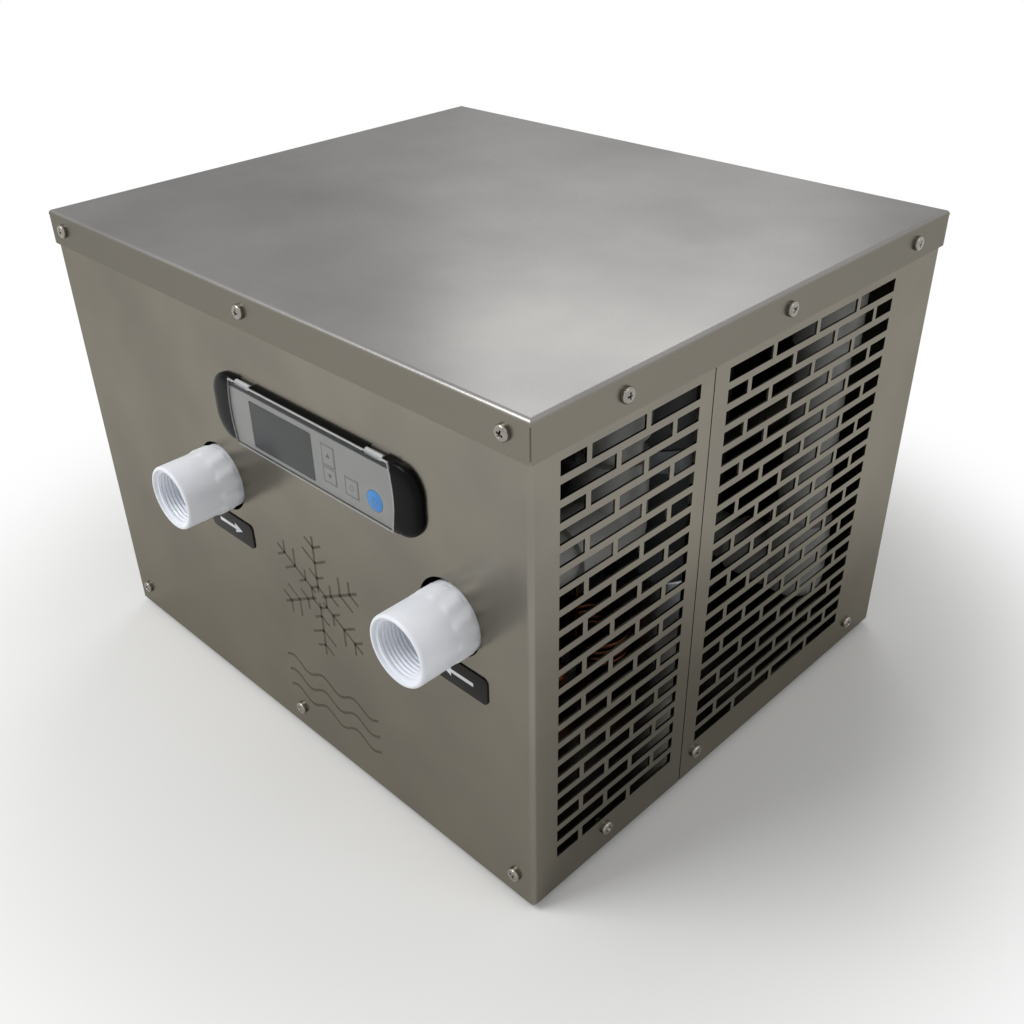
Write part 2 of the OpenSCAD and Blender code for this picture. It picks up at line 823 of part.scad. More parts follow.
module barrel_strap() {
    r = barrel_r + strap_gap;
    color("silver") placed() translate([barrel_x, barrel_y, strap_z]) difference() {
        union() {
            cylinder(r = r + strap_t, h = strap_w);
            translate([-r - strap_t, 0, 0])
                cube([2 * (r + strap_t), inner_back_y - barrel_y, strap_w]);
        }
        translate([0, 0, -over]) cylinder(r = r, h = strap_w + 2 * over);
        translate([-r, 0, -over])
            cube([2 * r, inner_back_y - barrel_y - strap_t, strap_w + 2 * over]);
    }
}

// Controller, drawn from the middle of its bezel on the panel
module at_controller() {
    placed() translate([ctrl_x, 0, ctrl_height]) children();
}

// Outline with bowed ends, taller than the bezel
module face_shape(w) {
    centre = w / 2 - face_arc_r;
    intersection() {
        translate([centre, 0]) circle(face_arc_r);
        translate([-centre, 0]) circle(face_arc_r);
    }
}

// Slab of a flat outline that reaches forwards from the depth "back" to the depth "front"
module slab(back, front) {
    translate([0, -back, 0]) rotate([90, 0, 0]) linear_extrude(front - back) children();
}

// Block whose front bows back towards the bezel's ends in short flats
module bow() {
    back = [[bow_span / 2, bezel_d], [-bow_span / 2, bezel_d]];
    linear_extrude(2 * bezel_h, center = true) polygon(concat(bow_front, back));
}

module at_knuckles() {
    for (s = [-1, 1]) translate([s * knuckle_x, hinge_y, hinge_z]) rotate([0, 90, 0]) children();
}

module controller_bezel() {
    rail_low = bezel_h / 2 - rail_h;
    rail_w = face_w;
    color("black") at_controller() difference() {
        union() {
            intersection() {
                union() {
                    slab(0, bezel_base) rounded_rect(bezel_w, bezel_h, bezel_corner);
                    slab(0, bezel_d) difference() {
                        rounded_rect(bezel_w, bezel_h, bezel_corner);
                        face_shape(face_w);
                        translate([-swing_w / 2, rail_low]) square([swing_w, bezel_h]);
                    }
                }
                bow();
            }
            translate([-rail_w / 2, -rail_d, rail_low]) cube([rail_w, rail_d, rail_h]);
            translate([-rail_w / 2, -rail_d, -bezel_h / 2]) cube([rail_w, rail_d, rim_h]);
        }
        slab(-over, bezel_base + over)
            square([housing_w - 2 * housing_wall, housing_h - 2 * housing_wall], center = true);
        at_knuckles() cylinder(r = hinge_pin_r + hinge_gap, h = pin_len + hinge_gap, center = true);
        for (s = [-1, 1]) translate([s * knuckle_x, hinge_y, hinge_z])
            translate([-knuckle_w / 2 - cover_gap, -bezel_d, -knuckle_r - cover_gap])
                cube([knuckle_w + 2 * cover_gap, 2 * bezel_d, bezel_h]);
    }
}

module controller_housing() {
    color("dimgray") at_controller() translate([0, housing_d / 2 + face_gap, 0]) difference() {
        cube([housing_w, housing_d, housing_h], center = true);
        translate([0, -housing_wall, 0])
            cube([housing_w - 2 * housing_wall, housing_d, housing_h - 2 * housing_wall], center = true);
        translate([0, housing_d / 2, 0]) rotate([90, 0, 0])
            cylinder(r = wire_r + hole_gap, h = 4 * housing_wall, center = true);
    }
}

module key_outline(place, w, h, gap) {
    translate(place) square([w + 2 * gap, h + 2 * gap], center = true);
}

module controller_face() {
    color("darkgray") at_controller() slab(bezel_base + face_gap, bezel_base + face_gap + face_t)
        difference() {
            intersection() {
                face_shape(face_w - 2 * cover_gap);
                translate([0, face_z]) square([face_w, face_h], center = true);
            }
            translate([display_x, display_z]) rounded_rect(display_w + 2 * face_gap,
                display_h + 2 * face_gap, display_corner);
            key_outline(up_key_place, key_w, key_high_h, key_gap);
            key_outline(down_key_place, key_w, key_low_h, key_gap);
            key_outline(set_key_place, key_w, set_key_h, key_gap);
            translate(power_key_place) circle(round_key_r + key_gap);
        }
}

module display_window() {
    color("darkslategray") at_controller()
        slab(bezel_base + face_gap, bezel_base + face_gap + face_t + window_proud)
            translate([display_x, display_z]) rounded_rect(display_w, display_h, display_corner);
}

module controller_board() {
    board_w = housing_w - 4 * housing_wall;
    board_h = housing_h - 3 * housing_wall;
    color("green") at_controller() {
        translate([0, board_y, 0]) cube([board_w, board_t, board_h], center = true);
        translate([display_x, 0, 0]) rotate([-90, 0, 0])
            translate([0, 0, face_gap - bezel_base])
                linear_extrude(board_y + bezel_base - face_gap)
                    square([display_w - 2 * housing_wall, board_h - housing_wall], center = true);
    }
}

module controller_clamps() {
    color("silver") at_controller() for (s = [-1, 1]) {
        translate([s * (housing_w / 2 + clamp_t / 2 + hole_gap), sheet_t + clamp_d / 2, 0])
            cube([clamp_t, clamp_d, clamp_w], center = true);
        translate([s * (housing_w / 2 + clamp_w / 2 + hole_gap), sheet_t + clamp_t / 2, 0])
            cube([clamp_w, clamp_t, clamp_w], center = true);
    }
}

// Key with its head through the face and its lip behind it
key_back = bezel_base - key_head_d + key_travel;
key_front = bezel_base + face_gap + face_t + key_proud;

module square_key(place, h) {
    color("darkgray") at_controller() slab(key_back, key_front) key_outline(place, key_w, h, 0);
}

module up_key() { square_key(up_key_place, key_high_h); }

module down_key() { square_key(down_key_place, key_low_h); }

module set_key() { square_key(set_key_place, set_key_h); }

module power_key() {
    color("dodgerblue") at_controller() slab(key_back, key_front)
        translate(power_key_place) circle(round_key_r);
}

module clear_cover() {
    color([0.8, 0.85, 0.9, 0.5]) at_controller() difference() {
        union() {
            slab(cover_back, cover_front) intersection() {
                face_shape(face_w - 2 * cover_gap);
                square([face_w, cover_h], center = true);
            }
            at_knuckles() cylinder(r = knuckle_r, h = knuckle_w, center = true);
            for (s = [-1, 1])
                translate([s * knuckle_x - knuckle_w / 2, -cover_front, hinge_z - knuckle_r])
                    cube([knuckle_w, cover_front + hinge_y, cover_h / 2 - hinge_z + knuckle_r]);
        }
        at_knuckles() cylinder(r = hinge_pin_r + hinge_gap, h = knuckle_w + 2 * over, center = true);
    }
}

module cover_hinge_pins() {
    color("silver") at_controller() at_knuckles() cylinder(r = hinge_pin_r, h = pin_len, center = true);
}

// Compressor
module at_compressor(z) {
    placed() translate([comp_x, comp_y, z]) children();
}

module can_shape(r, h, corner) {
    rotate_extrude() intersection() {
        square([r, h]);
        union() {
            translate([0, corner]) square([r, h - 2 * corner]);
            square([r - corner, h]);
            for (z = [corner, h - corner]) translate([r - corner, z]) circle(corner);
        }
    }
}

module compressor_can() {
    color([0.12, 0.12, 0.13]) at_compressor(comp_low) can_shape(comp_r, comp_h, comp_corner);
}

module at_compressor_feet() {
    for (a = feet_angles) rotate([0, 0, a]) translate([feet_circle, 0, 0]) children();
}

module compressor_feet() {
    color("black") at_compressor(comp_low - feet_t) difference() {
        union() {
            cylinder(r = comp_r - comp_corner + feet_t, h = feet_t);
            for (a = feet_angles) rotate([0, 0, a]) translate([0, -feet_pad_r, 0])
                cube([feet_circle, 2 * feet_pad_r, feet_t]);
            at_compressor_feet() cylinder(r = feet_pad_r, h = feet_t);
        }
        at_compressor_feet() translate([0, 0, -over])
            cylinder(r = stud_r + hole_gap, h = feet_t + 2 * over);
    }
}

module compressor_grommets() {
    color("dimgray") at_compressor(floor_z) at_compressor_feet() difference() {
        cylinder(r = grommet_r, h = grommet_h);
        translate([0, 0, -over]) cylinder(r = stud_r + hole_gap, h = grommet_h + 2 * over);
    }
}

module compressor_studs() {
    color("silver") at_compressor(floor_z) at_compressor_feet() {
        cylinder(r = stud_r, h = grommet_h + feet_t + stud_nut_h + stud_r);
        translate([0, 0, grommet_h + feet_t]) cylinder(r = stud_nut_r, h = stud_nut_h, $fn = 6);
    }
}

module terminal_cover() {
    color("black") at_compressor(comp_top)
        translate([0, cover_box_y - cover_box_r / 2, 0]) can_shape(cover_box_r, cover_box_h, hub_wall);
}

module suction_accumulator() {
    color([0.12, 0.12, 0.13]) placed() {
        translate([accu_x, accu_y, accu_low]) can_shape(accu_r, accu_h, accu_corner);
        difference() {
            translate([comp_x, comp_y, accu_low + accu_h / 2]) rotate([0, 0, accu_angle])
                translate([comp_r / 2, -accu_bracket_w / 2, 0])
                    cube([accu_dist - comp_r / 2, accu_bracket_w, accu_bracket_h]);
            translate([comp_x, comp_y, comp_low]) cylinder(r = comp_r + hole_gap, h = comp_h);
        }
    }
}

// Condenser
module at_passes() {
    for (i = [0:cond_passes - 1]) translate([pass_x, 0, pass_low + i * pass_pitch])
        rotate([-90, 0, 0]) children();
}

module condenser_fins() {
    first = cond_front + plate_t + fin_t;
    step = (cond_back - cond_front - 2 * plate_t - 3 * fin_t) / (fin_count - 1);
    fin_low = cond_low + plate_lip;
    color("lightsteelblue") placed() difference() {
        for (i = [0:fin_count - 1])
            translate([cond_x, first + i * step, fin_low])
                cube([fin_depth, fin_t, cond_top - fin_low - plate_lip]);
        at_passes() cylinder(r = gas_tube_r + tube_gap, h = case_d);
    }
}

module condenser_plates() {
    color("silver") placed() difference() {
        for (y = [cond_front, cond_back - plate_t])
            translate([cond_x, y, cond_low]) cube([fin_depth + plate_t, plate_t, cond_top - cond_low]);
        at_passes() cylinder(r = gas_tube_r + tube_gap, h = case_d);
    }
}

// Half ring that joins two passes, its legs along Z
module return_bend() {
    rotate([90, 0, 90]) rotate_extrude(angle = 180)
        translate([pass_pitch / 2, 0]) circle(gas_tube_r + bend_swell);
}

module condenser_tube() {
    front = cond_front - plate_t;
    back = cond_back + plate_t;
    color("peru") placed() {
        for (i = [0:cond_passes - 1]) {
            is_end = i == 0 || i == cond_passes - 1;
            translate([pass_x, is_end ? front - stub_len : front, pass_low + i * pass_pitch])
                rotate([-90, 0, 0])
                    cylinder(r = gas_tube_r, h = back - front + (is_end ? stub_len : 0));
        }
        for (i = [0:2:cond_passes - 2])
            translate([pass_x, back, pass_low + (i + 0.5) * pass_pitch])
                rotate([-90, 0, 0]) return_bend();
        for (i = [1:2:cond_passes - 3])
            translate([pass_x, front, pass_low + (i + 0.5) * pass_pitch])
                rotate([90, 0, 0]) return_bend();
    }
}

// Fan, drawn with its axis along X
module at_fan(x) {
    placed() translate([x, fan_y, fan_z]) rotate([0, 90, 0]) children();
}

module fan_shroud() {
    hole_r = fan_r + collar_gap;
    color("silver") {
        placed() difference() {
            translate([shroud_x, cond_front, cond_low])
                cube([shroud_t, cond_back - cond_front, cond_top - cond_low]);
            translate([shroud_x - over, fan_y, fan_z]) rotate([0, 90, 0])
                cylinder(r = hole_r, h = shroud_t + 2 * over);
        }
        at_fan(shroud_x) difference() {
            cylinder(r = hole_r + shroud_t, h = collar_len);
            translate([0, 0, -over]) cylinder(r = hole_r, h = collar_len + 2 * over);
        }
        placed() for (y = [cond_front, cond_back - shroud_t])
            translate([cond_x + fin_depth + plate_t, y, cond_low])
                cube([shroud_x - cond_x - fin_depth - plate_t + over, shroud_t, cond_top - cond_low]);
    }
}

module fan_rotor() {
    color([0.15, 0.15, 0.16]) at_fan(rotor_x) difference() {
        union() {
            difference() {
                cylinder(r = hub_r, h = rotor_w);
                translate([0, 0, hub_wall]) cylinder(r = hub_r - hub_wall, h = rotor_w);
            }
            cylinder(r = hub_boss_r, h = rotor_w);
            intersection() {
                difference() {
                    cylinder(r = fan_r, h = rotor_w);
                    translate([0, 0, -over]) cylinder(r = hub_r - hub_wall / 2, h = rotor_w + 2 * over);
                }
                for (i = [0:blade_count - 1]) rotate([0, 0, 360 * i / blade_count])
                    translate([0, 0, rotor_w / 2]) rotate([blade_pitch, 0, 0])
                        translate([0, -blade_chord / 2, -blade_t / 2]) cube([fan_r, blade_chord, blade_t]);
            }
        }
        translate([0, 0, -over]) cylinder(r = shaft_r, h = rotor_w + 2 * over);
    }
}

module fan_shaft() {
    color("silver") at_fan(rotor_x) cylinder(r = shaft_r, h = shaft_len);
}

module fan_motor() {
    color("dimgray") at_fan(motor_x) difference() {
        can_shape(motor_r, motor_len, hub_wall);
        translate([0, 0, -over]) cylinder(r = shaft_r + shaft_gap, h = shaft_in_motor + 2 * over);
    }
}

module fan_bracket() {
    back = motor_x + motor_len;
    color("silver") placed() for (a = [45, 135]) {
        translate([back, fan_y, fan_z]) rotate([a, 0, 0]) translate([0, -arm_reach, -arm_w / 2])
            cube([arm_t, 2 * arm_reach, arm_w]);
        for (s = [-1, 1])
            translate([shroud_x + shroud_t, fan_y, fan_z]) rotate([a, 0, 0])
                translate([0, s * (arm_reach - arm_t / 2) - arm_t / 2, -arm_w / 2])
                    cube([back - shroud_x - shroud_t + arm_t, arm_t, arm_w]);
    }
}

// Refrigerant pipes
module discharge_tube() {
    start = [comp_x, comp_y, comp_top];
    color("peru") placed() bent_rod([start - [0, discharge_gap, 0],
        [comp_x, comp_y - discharge_gap, discharge_z],
        [comp_x, front_run_y, discharge_z],
        [pass_x, front_run_y, discharge_z],
        [pass_x, front_run_y, pass_high],
        [pass_x, cond_front - plate_t - stub_len, pass_high]], gas_tube_r);
}

module suction_tube() {
    from = [barrel_x + coil_tail_x, barrel_y, barrel_top + tail_rise];
    color("peru") placed() bent_rod([from, [from[0], from[1], suction_z],
        [accu_x, accu_y, suction_z], [accu_x, accu_y, accu_top]], accu_tube_r);
}

module liquid_tube() {
    color("peru") placed() bent_rod([[pass_x, cond_front - plate_t - stub_len, pass_low],
        [pass_x, front_run_y, pass_low], [pass_x, front_run_y, liquid_z],
        [drier_x, front_run_y, liquid_z], [drier_x, drier_front, liquid_z]], liquid_tube_r);
}

module filter_drier() {
    color("peru") placed() translate([drier_x, drier_front, liquid_z]) rotate([-90, 0, 0])
        rotate_extrude() union() {
            square([liquid_tube_r, drier_len]);
            translate([0, drier_neck]) square([drier_r - drier_neck / 2, drier_len - 2 * drier_neck]);
            translate([0, 2 * drier_neck]) square([drier_r, drier_len - 4 * drier_neck]);
        }
}

module capillary_tube() {
    start = [drier_x, drier_back, capillary_low];
    middle = [drier_x, capillary_y, capillary_low];
    turns_top = capillary_low + capillary_turns * capillary_pitch;
    tail = [barrel_x - coil_tail_x, barrel_y, barrel_top + tail_rise];
    path = concat([start],
        [for (i = [0:capillary_turns * coil_steps])
            let (a = -90 + 360 * i / coil_steps)
            middle + [capillary_loop_r * cos(a), capillary_loop_r * sin(a),
                capillary_pitch * i / coil_steps]],
        [[drier_x, capillary_y - capillary_loop_r, suction_z - accu_tube_r * 2],
            [tail[0], tail[1], suction_z - accu_tube_r * 2], tail]);
    color("peru") placed() swept_tube(path, capillary_r, coil_sides, [1, 0, 0]);
}

module sensor_probe() {
    color("silver") at_barrel(barrel_top) translate([probe_x, probe_y, probe_out - probe_len])
        cylinder(r = probe_r, h = probe_len);
}

module sensor_cable() {
    start = [barrel_x + probe_x, barrel_y + probe_y, barrel_top + probe_out];
    color([0.1, 0.1, 0.1]) placed() swept_tube([start, start + [0, 0, 2 * probe_r],
        start + [0, probe_y - barrel_r / 2, 3 * probe_r],
        [ctrl_x, comp_y + comp_r, ctrl_height],
        [ctrl_x, housing_d + face_gap - housing_wall, ctrl_height]],
        sensor_wire_r, 2 * coil_sides, [1, 0, 0]);
}

// Electrics
module run_capacitor() {
    color("silver") placed() translate([capacitor_x, capacitor_y, floor_z + clip_t])
        can_shape(capacitor_r, capacitor_h, clip_t);
}

module capacitor_clip() {
    color("gray") placed() translate([capacitor_x, capacitor_y, floor_z]) difference() {
        cylinder(r = capacitor_r + hole_gap + clip_t, h = clip_h);
        translate([0, 0, clip_t]) cylinder(r = capacitor_r + hole_gap, h = clip_h);
    }
}

module terminal_block() {
    color("ivory") placed() translate([block_x, block_y, floor_z + block_h / 2])
        cube([block_w, block_d, block_h], center = true);
}

// Cable gland, drawn with Z pointing out of the back
module at_gland() {
    placed() translate([gland_x, back_y, gland_z]) rotate([-90, 0, 0]) children();
}

module gland_hole(r) {
    translate([0, 0, -gland_inside - over]) cylinder(r = r, h = gland_inside + gland_reach + 2 * over);
}

module gland_body() {
    color([0.1, 0.1, 0.1]) at_gland() difference() {
        union() {
            translate([0, 0, -gland_inside]) cylinder(r = gland_r, h = gland_inside + gland_flange_t);
            cylinder(r = gland_flange_r, h = gland_flange_t, $fn = 6);
        }
        gland_hole(gland_bore_r);
    }
}

module gland_nut() {
    color([0.1, 0.1, 0.1]) at_gland() difference() {
        translate([0, 0, gland_flange_t]) can_shape(gland_nut_r, gland_reach - gland_flange_t,
            gland_flange_t);
        gland_hole(gland_bore_r);
    }
}

module gland_lock_nut() {
    color([0.1, 0.1, 0.1]) at_gland() difference() {
        translate([0, 0, -sheet_t - gland_lock_t]) cylinder(r = gland_flange_r, h = gland_lock_t, $fn = 6);
        gland_hole(gland_r + hole_gap);
    }
}

module mains_cables() {
    block_top = floor_z + block_h;
    wire_z = roof_z - 12;
    spread = block_w / 4;
    color([0.1, 0.1, 0.1]) placed() {
        swept_tube([[block_x + spread, block_y, block_top], [block_x + spread, block_y, wire_z],
            [comp_x - comp_r / 2, comp_y + cover_box_y, wire_z],
            [comp_x, comp_y + cover_box_y - cover_box_r / 2, wire_z],
            [comp_x, comp_y + cover_box_y - cover_box_r / 2, comp_top + cover_box_h]],
            wire_r, 2 * coil_sides, [1, 0, 0]);
        swept_tube([[block_x - spread, block_y, block_top], [block_x - spread, block_y, fan_z],
            [motor_x + motor_len / 2, fan_y, fan_z] + [0, motor_r, 0]],
            wire_r, 2 * coil_sides, [1, 0, 0]);
    }
}

base_pan();
front_wrap();
rear_wrap();
top_cover();
case_screws();
rubber_feet();
inlet_fitting();
outlet_fitting();
inlet_pipes();
inlet_elbow();
outlet_pipes();
outlet_elbows();
inlet_label();
outlet_label();
barrel_shell();
barrel_top_cap();
barrel_bottom_cap();
titanium_coil();
barrel_strap();
controller_bezel();
controller_housing();
controller_face();
controller_board();
controller_clamps();
display_window();
up_key();
down_key();
set_key();
power_key();
clear_cover();
cover_hinge_pins();
compressor_can();
compressor_feet();
compressor_grommets();
compressor_studs();
terminal_cover();
suction_accumulator();
condenser_fins();
condenser_tube();
condenser_plates();
fan_shroud();
fan_rotor();
fan_shaft();
fan_motor();
fan_bracket();
discharge_tube();
suction_tube();
liquid_tube();
filter_drier();
capillary_tube();
sensor_probe();
sensor_cable();
run_capacitor();
capacitor_clip();
terminal_block();
gland_body();
gland_nut();
gland_lock_nut();
mains_cables();
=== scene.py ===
"""Water chiller: real finishes, fine forms, studio and camera over the CAD frame.

Pieces are drawn in millimetres, with X along the front, Y behind the front panel and Z up from the
floor, and put into the frame's metres when each one is finished.
"""

import math

import bmesh
import bpy
from mathutils import Matrix, Vector


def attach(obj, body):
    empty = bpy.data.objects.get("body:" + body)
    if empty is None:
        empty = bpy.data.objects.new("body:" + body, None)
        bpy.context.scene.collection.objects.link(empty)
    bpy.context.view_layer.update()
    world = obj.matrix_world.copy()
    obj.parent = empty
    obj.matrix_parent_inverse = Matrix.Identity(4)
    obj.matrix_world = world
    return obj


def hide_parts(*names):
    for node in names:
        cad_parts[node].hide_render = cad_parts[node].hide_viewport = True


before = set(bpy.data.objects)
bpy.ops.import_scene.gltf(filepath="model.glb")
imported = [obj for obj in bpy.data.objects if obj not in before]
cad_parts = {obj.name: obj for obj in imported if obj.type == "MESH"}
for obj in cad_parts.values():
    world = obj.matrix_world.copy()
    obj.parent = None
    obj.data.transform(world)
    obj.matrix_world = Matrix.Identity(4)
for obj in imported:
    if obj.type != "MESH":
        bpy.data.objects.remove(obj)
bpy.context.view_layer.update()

# Where the front panel lies in the frame, and the places that pieces share
FRONT_Y = -175.95
TOP_Z = 315.0
BACK_Y = 365.4
PAN_Z = 5.0
PORT_Z = 180.3
INLET_X = -52.0
OUTLET_X = 157.1
CTRL_X = 51.0
CTRL_Z = 239.0
BEZEL_W, BEZEL_H, BEZEL_CORNER = 181.5, 42, 15.5
FACE_W = 145.5
FACE_ARC_R = 80.15
# The cover's hinge line, from the controller's centre, and its pins
HINGE_X, HINGE_DEPTH, HINGE_Z = 57.5, 2.0, 20.0
PIN_R = 0.65
BARREL = (50.0, 303.5)
COMPRESSOR = (28.0, 120.0)
COMP_LOW = 21.2
COMP_TOP = 207.2
ROOF_Z = 313.8
PASS_X = -186.7
COND_FRONT = 46.0
COND_BACK = 325.4
PASS_LOW = 40.2
PASS_HIGH = 275.8
FAN = (-161.7, 185.7, 152.0)
DRIER_X = 107.0


def in_frame(point):
    """A place in millimetres behind the front panel, in the frame's metres."""
    return Vector((point[0], point[1] + FRONT_Y, point[2])) / 1000


# Finishes


def colour(code):
    """An sRGB hex colour as linear RGBA."""
    parts = [int(code[i:i + 2], 16) / 255 for i in (1, 3, 5)]
    return [p / 12.92 if p <= 0.04045 else ((p + 0.055) / 1.055) ** 2.4 for p in parts] + [1]


def add(tree, kind, inputs=(), **settings):
    """A node with its settings, its input values and its links."""
    node = tree.nodes.new(kind)
    for key, value in settings.items():
        setattr(node, key, value)
    for key, value in dict(inputs).items():
        if isinstance(value, bpy.types.NodeSocket):
            tree.links.new(value, node.inputs[key])
        else:
            node.inputs[key].default_value = value
    return node


def surface(name, light, dark, roughness, spread, blotch_mm, grain_mm, relief_mm,
            stretch=(1, 1, 1), **shader):
    """A finish: colour drifts between two tones, and gloss and relief follow a finer grain."""
    mat = bpy.data.materials.new(name)
    mat.use_nodes = True
    tree = mat.node_tree
    tree.nodes.clear()
    where = add(tree, "ShaderNodeTexCoord").outputs["Object"]
    drift = add(tree, "ShaderNodeTexNoise", {"Vector": where, "Scale": 1000 / blotch_mm,
                                             "Detail": 3, "Roughness": 0.55})
    drifted = add(tree, "ShaderNodeMapRange", {"Value": drift.outputs[0], "From Min": 0.3,
                                               "From Max": 0.7})
    tone = add(tree, "ShaderNodeMix", {0: drifted.outputs[0], 6: colour(light), 7: colour(dark)},
               data_type="RGBA")
    along = add(tree, "ShaderNodeMapping", {"Vector": where, "Scale": stretch})
    grain = add(tree, "ShaderNodeTexNoise", {"Vector": along.outputs[0], "Scale": 1000 / grain_mm,
                                             "Detail": 4, "Roughness": 0.6})
    gloss = add(tree, "ShaderNodeMapRange", {"Value": grain.outputs[0], "From Min": 0.25,
                                             "From Max": 0.75, "To Min": roughness - spread,
                                             "To Max": roughness + spread})
    relief = add(tree, "ShaderNodeBump", {"Height": grain.outputs[0], "Distance": relief_mm / 1000,
                                          "Strength": 1.0})
    body = add(tree, "ShaderNodeBsdfPrincipled", {"Base Color": tone.outputs[2],
                                                  "Roughness": gloss.outputs[0],
                                                  "Normal": relief.outputs[0]})
    for key, value in shader.items():
        body.inputs[key.replace("_", " ")].default_value = value
    add(tree, "ShaderNodeOutputMaterial", {"Surface": body.outputs[0]})
    return mat


def turned_down(mat, code):
    """Paints shade on the sheet's upright faces: they take a darker tone, like the walls below
    them.
    """
    tree = mat.node_tree
    body = tree.nodes["Principled BSDF"]
    normal = add(tree, "ShaderNodeTexCoord").outputs["Normal"]
    way = add(tree, "ShaderNodeSeparateXYZ", {0: normal})
    flat = add(tree, "ShaderNodeMapRange", {"Value": way.outputs["Z"], "From Min": 0.3,
                                            "From Max": 0.7})
    tone = add(tree, "ShaderNodeMix", {0: flat.outputs[0], 6: colour(code),
                                       7: body.inputs["Base Color"].links[0].from_socket},
               data_type="RGBA")
    tree.links.new(tone.outputs[2], body.inputs["Base Color"])


# Stainless steel sheet, cold rolled and lightly brushed: a soft warm grey mirror with cloudy tone
WRAP_STEEL = surface("brushed_stainless_wrap", "#8C877C", "#807C74", 0.22, 0.03, 85, 0.9, 0.0008,
                     (1, 1, 0.5), Metallic=1.0, Specular_Tint=(0.6, 0.59, 0.56, 1))
# The lid's sheet is the same steel with a duller finish; its paler, cooler tone than the walls' is
# painted light, for the brighter light the lid reflects
LID_STEEL = surface("brushed_stainless_lid", "#93918F", "#838281", 0.30, 0.04, 110, 0.9, 0.0016,
                    (0.6, 1, 1), Metallic=1.0, Specular_Tint=(0.55, 0.55, 0.55, 1))
# Painted shade: the lid's upright flanges take a darker, warmer tone than its top
turned_down(LID_STEEL, "#7E7A70")
# Plated steel screws: nearly smooth, so each head shows one bright spot and a dark lower side
SCREW_STEEL = surface("nickel_plated_steel", "#9C9891", "#8A867F", 0.26, 0.04, 3, 0.5, 0.003,
                      Metallic=1.0)
# Injection-moulded uPVC: cool white, waxy, with a faint orange peel
FITTING_PVC = surface("moulded_upvc_white", "#F1F4FA", "#EAEDF5", 0.38, 0.05, 18, 1.6, 0.010,
                      Subsurface_Weight=0.06)
fitting_body = FITTING_PVC.node_tree.nodes["Principled BSDF"]
fitting_body.inputs["Subsurface Radius"].default_value = (0.004, 0.003, 0.003)
# Extruded uPVC pipe: mid grey, drawn smooth
PIPE_PVC = surface("extruded_upvc_pipe", "#9C9C99", "#8F8F8C", 0.34, 0.05, 30, 1.2, 0.006)
# Pressure uPVC of the barrel, given a dark grey that paints in the shade behind the slots
BARREL_PVC = surface("barrel_upvc_painted_shade", "#2E3032", "#27292B", 0.42, 0.06, 30, 1.2,
                     0.008)
# Gloss ABS bezel: piano black moulding
GLOSS_BLACK = surface("gloss_black_abs", "#0B0B0C", "#0F0F10", 0.13, 0.02, 12, 2.5, 0.0005,
                      Specular_IOR_Level=0.05)
# Screen-printed polycarbonate film: mid grey, eggshell
GREY_FILM = surface("printed_polycarbonate_grey", "#989894", "#92928E", 0.42, 0.05, 16, 0.35,
                    0.004)
# Display glass over an unlit liquid crystal cell: deep olive grey
LCD_GLASS = surface("unlit_lcd_glass", "#1B1D1A", "#181A17", 0.12, 0.01, 40, 9.0, 0.00001,
                    Specular_IOR_Level=0.25)
# Clear moulded acrylic: the keys and the display show through a thin veil of shine
CLEAR_ACRYLIC = surface("clear_acrylic", "#84888A", "#808486", 0.06, 0.01, 40, 9.0, 0.00001,
                        Alpha=0.09, Specular_IOR_Level=0.5)
# Painted highlight: the acrylic's rim faces take a pale, less clear colour that stands in for the
# light line along its edge
ACRYLIC_EDGE = surface("acrylic_edge_painted_highlight", "#D3D5D6", "#C8CBCC", 0.22, 0.04, 12, 2.0, 0.002,
                       Alpha=0.72)
# Blue silicone key under a printed film
BLUE_KEY = surface("blue_key_film", "#1592E4", "#108ADA", 0.34, 0.04, 8, 0.4, 0.004)
# Screen-printing inks: dry and matt, pale on the plates and charcoal on the keys
PALE_PRINT = surface("pale_screen_print", "#E8EAEC", "#DFE2E5", 0.5, 0.04, 8, 0.4, 0.003)
DARK_PRINT = surface("dark_screen_print", "#4A4B4A", "#525352", 0.5, 0.05, 8, 0.4, 0.003)
# Engraved two-layer laminate plate: black satin
LABEL_BLACK = surface("engraved_laminate_black", "#161412", "#1B1916", 0.40, 0.05, 10, 0.5, 0.004,
                      Specular_IOR_Level=0.15)
# Electro-etched mark on steel: oxidised olive brown
ETCHED = surface("electro_etched_mark", "#4A4538", "#554F40", 0.55, 0.08, 6, 0.6, 0.006,
                 Metallic=0.6)
# Moulded EPDM rubber: near black, dull
RUBBER = surface("moulded_epdm_rubber", "#1B1B1C", "#232324", 0.72, 0.08, 9, 0.8, 0.02)
# Hot-dip galvanised sheet, dulled by age: mid blue grey crystals
ZINC = surface("galvanised_sheet", "#77797C", "#686B6E", 0.38, 0.08, 14, 2.0, 0.004,
               Metallic=1.0)
# Drawn copper refrigerant tube, slightly tarnished, and darkened to a deep brown that paints in the
# shade inside the case
COPPER = surface("drawn_copper_tube", "#5C3727", "#4A2B1F", 0.30, 0.08, 22, 0.8, 0.004,
                 Metallic=1.0)
# Rolled aluminium fin stock and drawn cans
ALUMINIUM = surface("rolled_aluminium", "#A9ABAE", "#97999C", 0.34, 0.07, 25, 0.8, 0.004,
                    (1, 1, 0.2), Metallic=1.0)
# Black stoving enamel on pressed steel
BLACK_ENAMEL = surface("stoved_black_enamel", "#17181A", "#1F2022", 0.32, 0.07, 35, 1.4, 0.02)
# Titanium tube, drawn and pickled: dark warm grey
TITANIUM = surface("pickled_titanium_tube", "#8F8A84", "#7E7973", 0.36, 0.06, 15, 0.7, 0.005,
                   Metallic=1.0)
